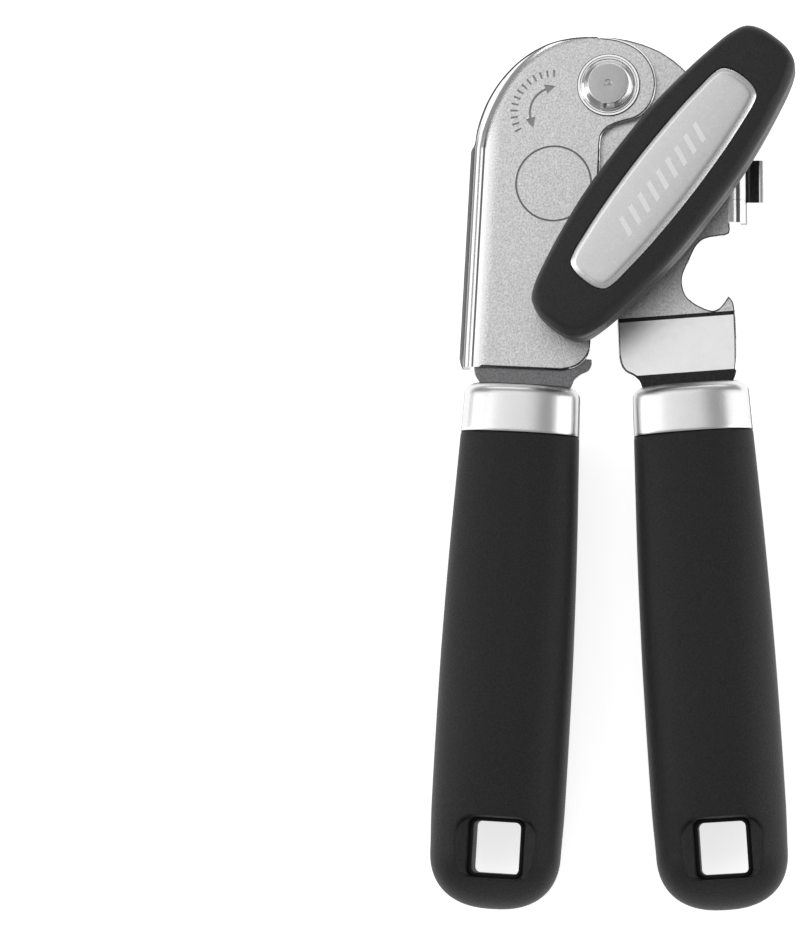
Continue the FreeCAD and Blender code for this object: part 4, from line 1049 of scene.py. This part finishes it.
SATIN = ((0.69, 0.69, 0.695), 0.30, 0.85, 2500.0, 0.24)
M = {
    "plate_steel": steel("plate_satin_steel", *SATIN),
    # painted highlight for the lower rounding of the sheets' edges
    "roll": steel("plate_painted_edge_highlight", (0.84, 0.84, 0.845), 0.15, 0.05, 1500.0, 0.03),
    # painted reflections: bright and dark bands by depth on the front plate's rolled edge
    "front_roll_painted_reflection": painted_reflection_bands("plate_rolled_edge_painted_reflection", "L", *SATIN, "Z", FRONT_TOP, FRONT_TOP - 4.0,
                         [(0.0, 0.88, 0.85), (0.045, 0.90, 1.0), (0.055, 0.10, 1.0), (0.095, 0.10, 1.0), (0.11, 0.88, 1.0),
                          (0.40, 0.88, 1.0), (0.46, 0.12, 1.0), (0.70, 0.16, 1.0), (0.76, 0.55, 1.0), (0.84, 0.12, 1.0)], 0.16,
                         run_out=(-15.0, -8.5, FRONT_TOP - 0.02, FRONT_TOP - 0.45)),
    # painted reflections: bright and dark bands by depth on the can guide's bend
    "guide_bend_painted_reflection": painted_reflection_bands("guide_bend_painted_reflection", "R", *SATIN, "Z", REAR_TOP, REAR_TOP - 7.1,
                         [(0.0, 0.80, 0.7), (0.02, 0.84, 1.0), (0.048, 0.84, 1.0), (0.062, 0.05, 1.0), (0.125, 0.07, 1.0), (0.145, 0.86, 1.0),
                          (0.34, 0.86, 1.0), (0.42, 0.12, 1.0), (0.75, 0.14, 1.0), (0.78, 0.8, 1.0), (1.0, 0.8, 1.0)], 0.18),
    # painted highlight: the front plate brightens towards its left edge by the roll
    "front_painted_highlight": painted_reflection_bands("plate_front_painted_highlight", "L", *SATIN, "X", -26.2, -23.6, [(0.0, 0.88, 0.85), (0.35, 0.84, 0.6), (1.0, 0.62, 0.0)], 0.18),
    # painted shade: dark lines along sheet edges, the roll's free end, the ferrule caps and the dish rim
    "edge_dark": steel("sheet_edge_painted_shade", (0.07, 0.07, 0.072), 0.35, 0.3, 2500.0, 0.3),
    # painted highlight for the knob insert's rounded rim
    "rim_painted_highlight": steel("insert_rim_painted_highlight", (0.95, 0.95, 0.95), 0.28, 0.03, 2600.0, 0.03),
    # joggle step: the finer grain is the metal's own, its brighter tone is a painted highlight
    "ramp": steel("plate_step_smooth_painted_highlight", (0.90, 0.90, 0.905), 0.33, 0.04, 1500.0, 0.02),
    # painted shade inside the cut ring, arrow and ticks
    "mark": steel("stamped_marks_painted_shade", (0.30, 0.30, 0.305), 0.40, 0.3, 2500.0, 0.2),
    # painted shade: the front plate's neck is darkened
    "neck": steel("plate_neck_painted_shade", (0.20, 0.20, 0.205), 0.34, 0.7, 2500.0, 0.3),
    # painted shade: near-black for the rear neck, the guide tab's top and a line along a bend
    "neck_dark": steel("plate_painted_dark_shade", (0.035, 0.035, 0.036), 0.36, 0.6, 2500.0, 0.4),
    "bright_steel": steel("bright_chrome", (0.80, 0.80, 0.81), 0.10, 0.04, 1500.0, 0.02),
    "rivet_face": steel("rivet_satin_face", (0.50, 0.50, 0.505), 0.36, 0.3, 2500.0, 0.06),
    "gear_steel": steel("machined_steel", (0.52, 0.52, 0.53), 0.28, 0.2, 1800.0, 0.08),
    "blade_steel": steel("ground_blade", (0.66, 0.66, 0.67), 0.2, 0.15, 1500.0, 0.06, stretch=(1, 1, 6)),
    "ferrule_satin": steel("satin_ferrule", (0.76, 0.76, 0.765), 0.30, 0.12, 2600.0, 0.03),
    "satin_insert": steel("satin_insert_plate", (0.62, 0.62, 0.625), 0.29, 0.18, 2600.0, 0.05),
    "etched": steel("etched_bars", (0.92, 0.92, 0.92), 0.46, 0.2, 2600.0, 0.03),
    "knob_black": plastic("knob_black_plastic", (0.0115, 0.0115, 0.012), 0.44, 0.8, 2200.0, 0.42),
    "grip_black": plastic("grip_soft_black", (0.0095, 0.0095, 0.010), 0.50, 0.8, 2200.0, 0.34),
    "core_black": plastic("core_black_plastic", (0.004, 0.004, 0.0044), 0.55, 0.25, 1500.0, 0.2),
}
SLOT_OF = {s["node"]: s["material_slot"] for s in frame["record"]["subparts"]}
for name, ob in frame["nodes"].items():
    mat = M[SLOT_OF[name]]
    if not ob.data.materials:
        ob.data.materials.append(mat)
    for k in range(len(ob.material_slots)):
        ob.material_slots[k].material = mat
# the front plate's neck gets painted shade; the roll, guide and front face get painted reflections and a painted
# highlight
PIECE_MAT = {"front_plate_roll": "front_roll_painted_reflection", "front_plate_neck": "neck", "knob_insert_bars": "etched", "can_guide_tab": "guide_bend_painted_reflection", "can_guide_flange": "guide_bend_painted_reflection", "front_plate_blank": "front_painted_highlight"}
PIECE_SLOT = {"left_grip_sleeve": "grip_black", "right_grip_sleeve": "grip_black", "left_hole_liner": "core_black", "right_hole_liner": "core_black",
              "left_ferrule_cap": "ferrule_satin", "right_ferrule_cap": "ferrule_satin", "front_plate_blank": "plate_steel",
              "front_plate_neck": "plate_steel", "rear_plate_blank": "plate_steel", "pivot_rivet_head": "bright_steel", "pivot_dish": "bright_steel",
              "knob_cover_shell": "knob_black", "knob_insert_plate": "satin_insert",
              "knob_insert_bars": "satin_insert"}
for name, ob in PIECES.items():
    ob.data.materials.clear()
    ob.data.materials.append(M[PIECE_MAT.get(name) or PIECE_SLOT[name]])



def paint(piece, extra, test):
    """A second material on the faces of a piece that pass the test of their middle, in its local millimetres; used
    below mostly for painted highlights and painted shade.
    """
    ob = PIECES[piece[0]]
    ob.data.materials.append(M[extra])
    k = len(ob.data.materials) - 1
    o, a = frame_of(piece[1])
    a = math.radians(a)
    c, s = math.cos(a), math.sin(a)
    for f in ob.data.polygons:
        x, y, z = (f.center.x * 1000 - o[0], f.center.y * 1000 - o[1], f.center.z * 1000 - o[2])
        if test(x * c + y * s, -x * s + y * c, z):
            f.material_index = k


# painted highlight on the rear plate's joggle step
paint(("rear_plate_blank", "R"), "ramp", lambda x, y, z: -66.6 < y < -53.8)
# painted dark reflection line along the bend at the top of the step
paint(("rear_plate_blank", "R"), "neck_dark", lambda x, y, z: -54.06 < y < -53.14 and z > -1.0)
# painted shade on the groove faces of the ring, arrow and ticks
paint(("front_plate_blank", "L"), "mark", lambda x, y, z: FRONT_TOP - 0.36 < z < FRONT_TOP - 0.02 and -24.9 < x < -2.2 and -32.2 < y < 3.2)
# painted shade line on the upper part of the front plate's edge rounding
paint(("front_plate_blank", "L"), "edge_dark", lambda x, y, z: FRONT_TOP - 0.08 < z < FRONT_TOP - 0.005 and (y < -60.0 or x > -1.9 or y > 3.2))
# painted highlight on the lower part of the front plate's edge rounding
paint(("front_plate_blank", "L"), "roll", lambda x, y, z: z <= FRONT_TOP - 0.08 and (y < -60.0 or x > -1.9 or y > 3.2))
# painted shade line on the upper part of the rear plate's edge rounding
paint(("rear_plate_blank", "R"), "edge_dark", lambda x, y, z: REAR_TOP - 0.075 < z - soft_ramp(y) < REAR_TOP - 0.005 and y > -66.6)
# painted highlight on the lower part of the rear plate's edge rounding
paint(("rear_plate_blank", "R"), "roll", lambda x, y, z: REAR_TOP - 1.4 < z - soft_ramp(y) <= REAR_TOP - 0.075 and y > -66.6)
SILC = sil


def near_silhouette(x, y, reach):
    return float(np.min(np.hypot(SILC[:, 0] - x, SILC[:, 1] - y))) < reach


# painted shade line along the rolled edge's free end
paint(("front_plate_roll", "L"), "edge_dark", lambda x, y, z: y > -14.5 and near_silhouette(x, y, 0.42))
# painted shade outlines along the ferrule caps' sides, top and mouth
paint(("left_ferrule_cap", "L"), "edge_dark", lambda x, y, z: abs(x - XL) > 13.0 - 0.35 * (y - FLOW) / (FTOP - FLOW) + 0.13 or y > FTOP - 0.22 or y < FLOW + 0.2)
paint(("right_ferrule_cap", "R"), "edge_dark", lambda x, y, z: abs(x - XR) > 13.0 - 0.35 * (y - FLOW) / (FTOP - FLOW) + 0.13 or y > FTOP - 0.22 or y < FLOW + 0.2)
# painted shade outline round the dish washer's rim
paint(("pivot_dish", "P"), "edge_dark", lambda x, y, z: math.hypot(x, y) > 7.02)
# painted highlight on the insert plate's rounded rim
paint(("knob_insert_plate", "K"), "rim_painted_highlight", lambda x, y, z: z < float(crown(x, y)) + 0.03)
# painted shade on the guide tab's top face
paint(("can_guide_tab", "R"), "neck_dark", lambda x, y, z: z > -6.05 and z < -4.9 and GX + 0.1 < x < GX + 2.6)
# painted shade on the rear plate's neck
paint(("rear_plate_blank", "R"), "neck_dark", lambda x, y, z: y <= -66.6)
paint(("pivot_rivet_head", "P"), "rivet_face", lambda x, y, z: z > RT + 1.95 and math.hypot(x, y) < 4.45)

# ------------------------------------------------------------------ stage, light, camera
sc = bpy.context.scene
me = bpy.data.meshes.new("floor")
s = 3.0
me.from_pydata([(-s, -s, 0), (s, -s, 0), (s, s, 0), (-s, s, 0)], [], [(0, 1, 2, 3)])
floor = bpy.data.objects.new("floor", me)
sc.collection.objects.link(floor)
fm, nt, b = nodes_of("floor_pale")
b.inputs["Base Color"].default_value = (0.80, 0.80, 0.80, 1)
b.inputs["Roughness"].default_value = 0.9
b.inputs["Specular IOR Level"].default_value = 0.1
b.inputs["Emission Color"].default_value = (1, 1, 1, 1)
b.inputs["Emission Strength"].default_value = 0.74
me.materials.append(fm)

w = bpy.data.worlds.new("studio")
sc.world = w
w.use_nodes = True
w.node_tree.nodes["Background"].inputs["Color"].default_value = (1, 1, 1, 1)
w.node_tree.nodes["Background"].inputs["Strength"].default_value = 0.30


def softbox(name, loc, size, power, target=(0, 0, 0.01)):
    l = bpy.data.lights.new(name, "AREA")
    l.shape = "RECTANGLE"
    l.size, l.size_y = size
    l.energy = power
    o = bpy.data.objects.new(name, l)
    sc.collection.objects.link(o)
    o.location = loc
    o.rotation_mode = "QUATERNION"
    o.rotation_quaternion = (Vector(target) - Vector(loc)).to_track_quat("-Z", "Y")
    return o


softbox("overhead", (-0.42, 0.48, 1.5), (1.15, 1.15), 3.4, target=(-0.42, 0.48, 0.0))
softbox("upper_left", (-1.05, 0.1, 0.86), (0.62, 1.2), 2.4)
softbox("side_left", (-0.80, 0.0, 0.17), (0.20, 1.1), 1.3)
softbox("side_right", (0.85, 0.0, 0.40), (0.40, 1.1), 2.9)
softbox("far_end", (0.0, 0.95, 0.42), (1.1, 0.26), 1.3)
softbox("near_end", (0.05, -0.95, 0.45), (1.1, 0.30), 1.4)

cam = bpy.data.cameras.new("camera")
cam.sensor_width = 36.0
cam.lens = 152.6
co = bpy.data.objects.new("camera", cam)
sc.collection.objects.link(co)
fwd = Vector((-0.1054041, 0.08470706, -0.99081516)).normalized()
right = Vector((0.9943891, 0.0, -0.1057843)).normalized()
up = right.cross(fwd).normalized()
rot = Matrix((right, up, -fwd)).transposed()
co.matrix_world = Matrix.Translation(Vector((0.047272, -0.077150, 0.909937))) @ rot.to_4x4()
cam.clip_start, cam.clip_end = 0.05, 20.0
sc.camera = co
sc.view_settings.view_transform = "Standard"
sc.view_settings.look = "None"
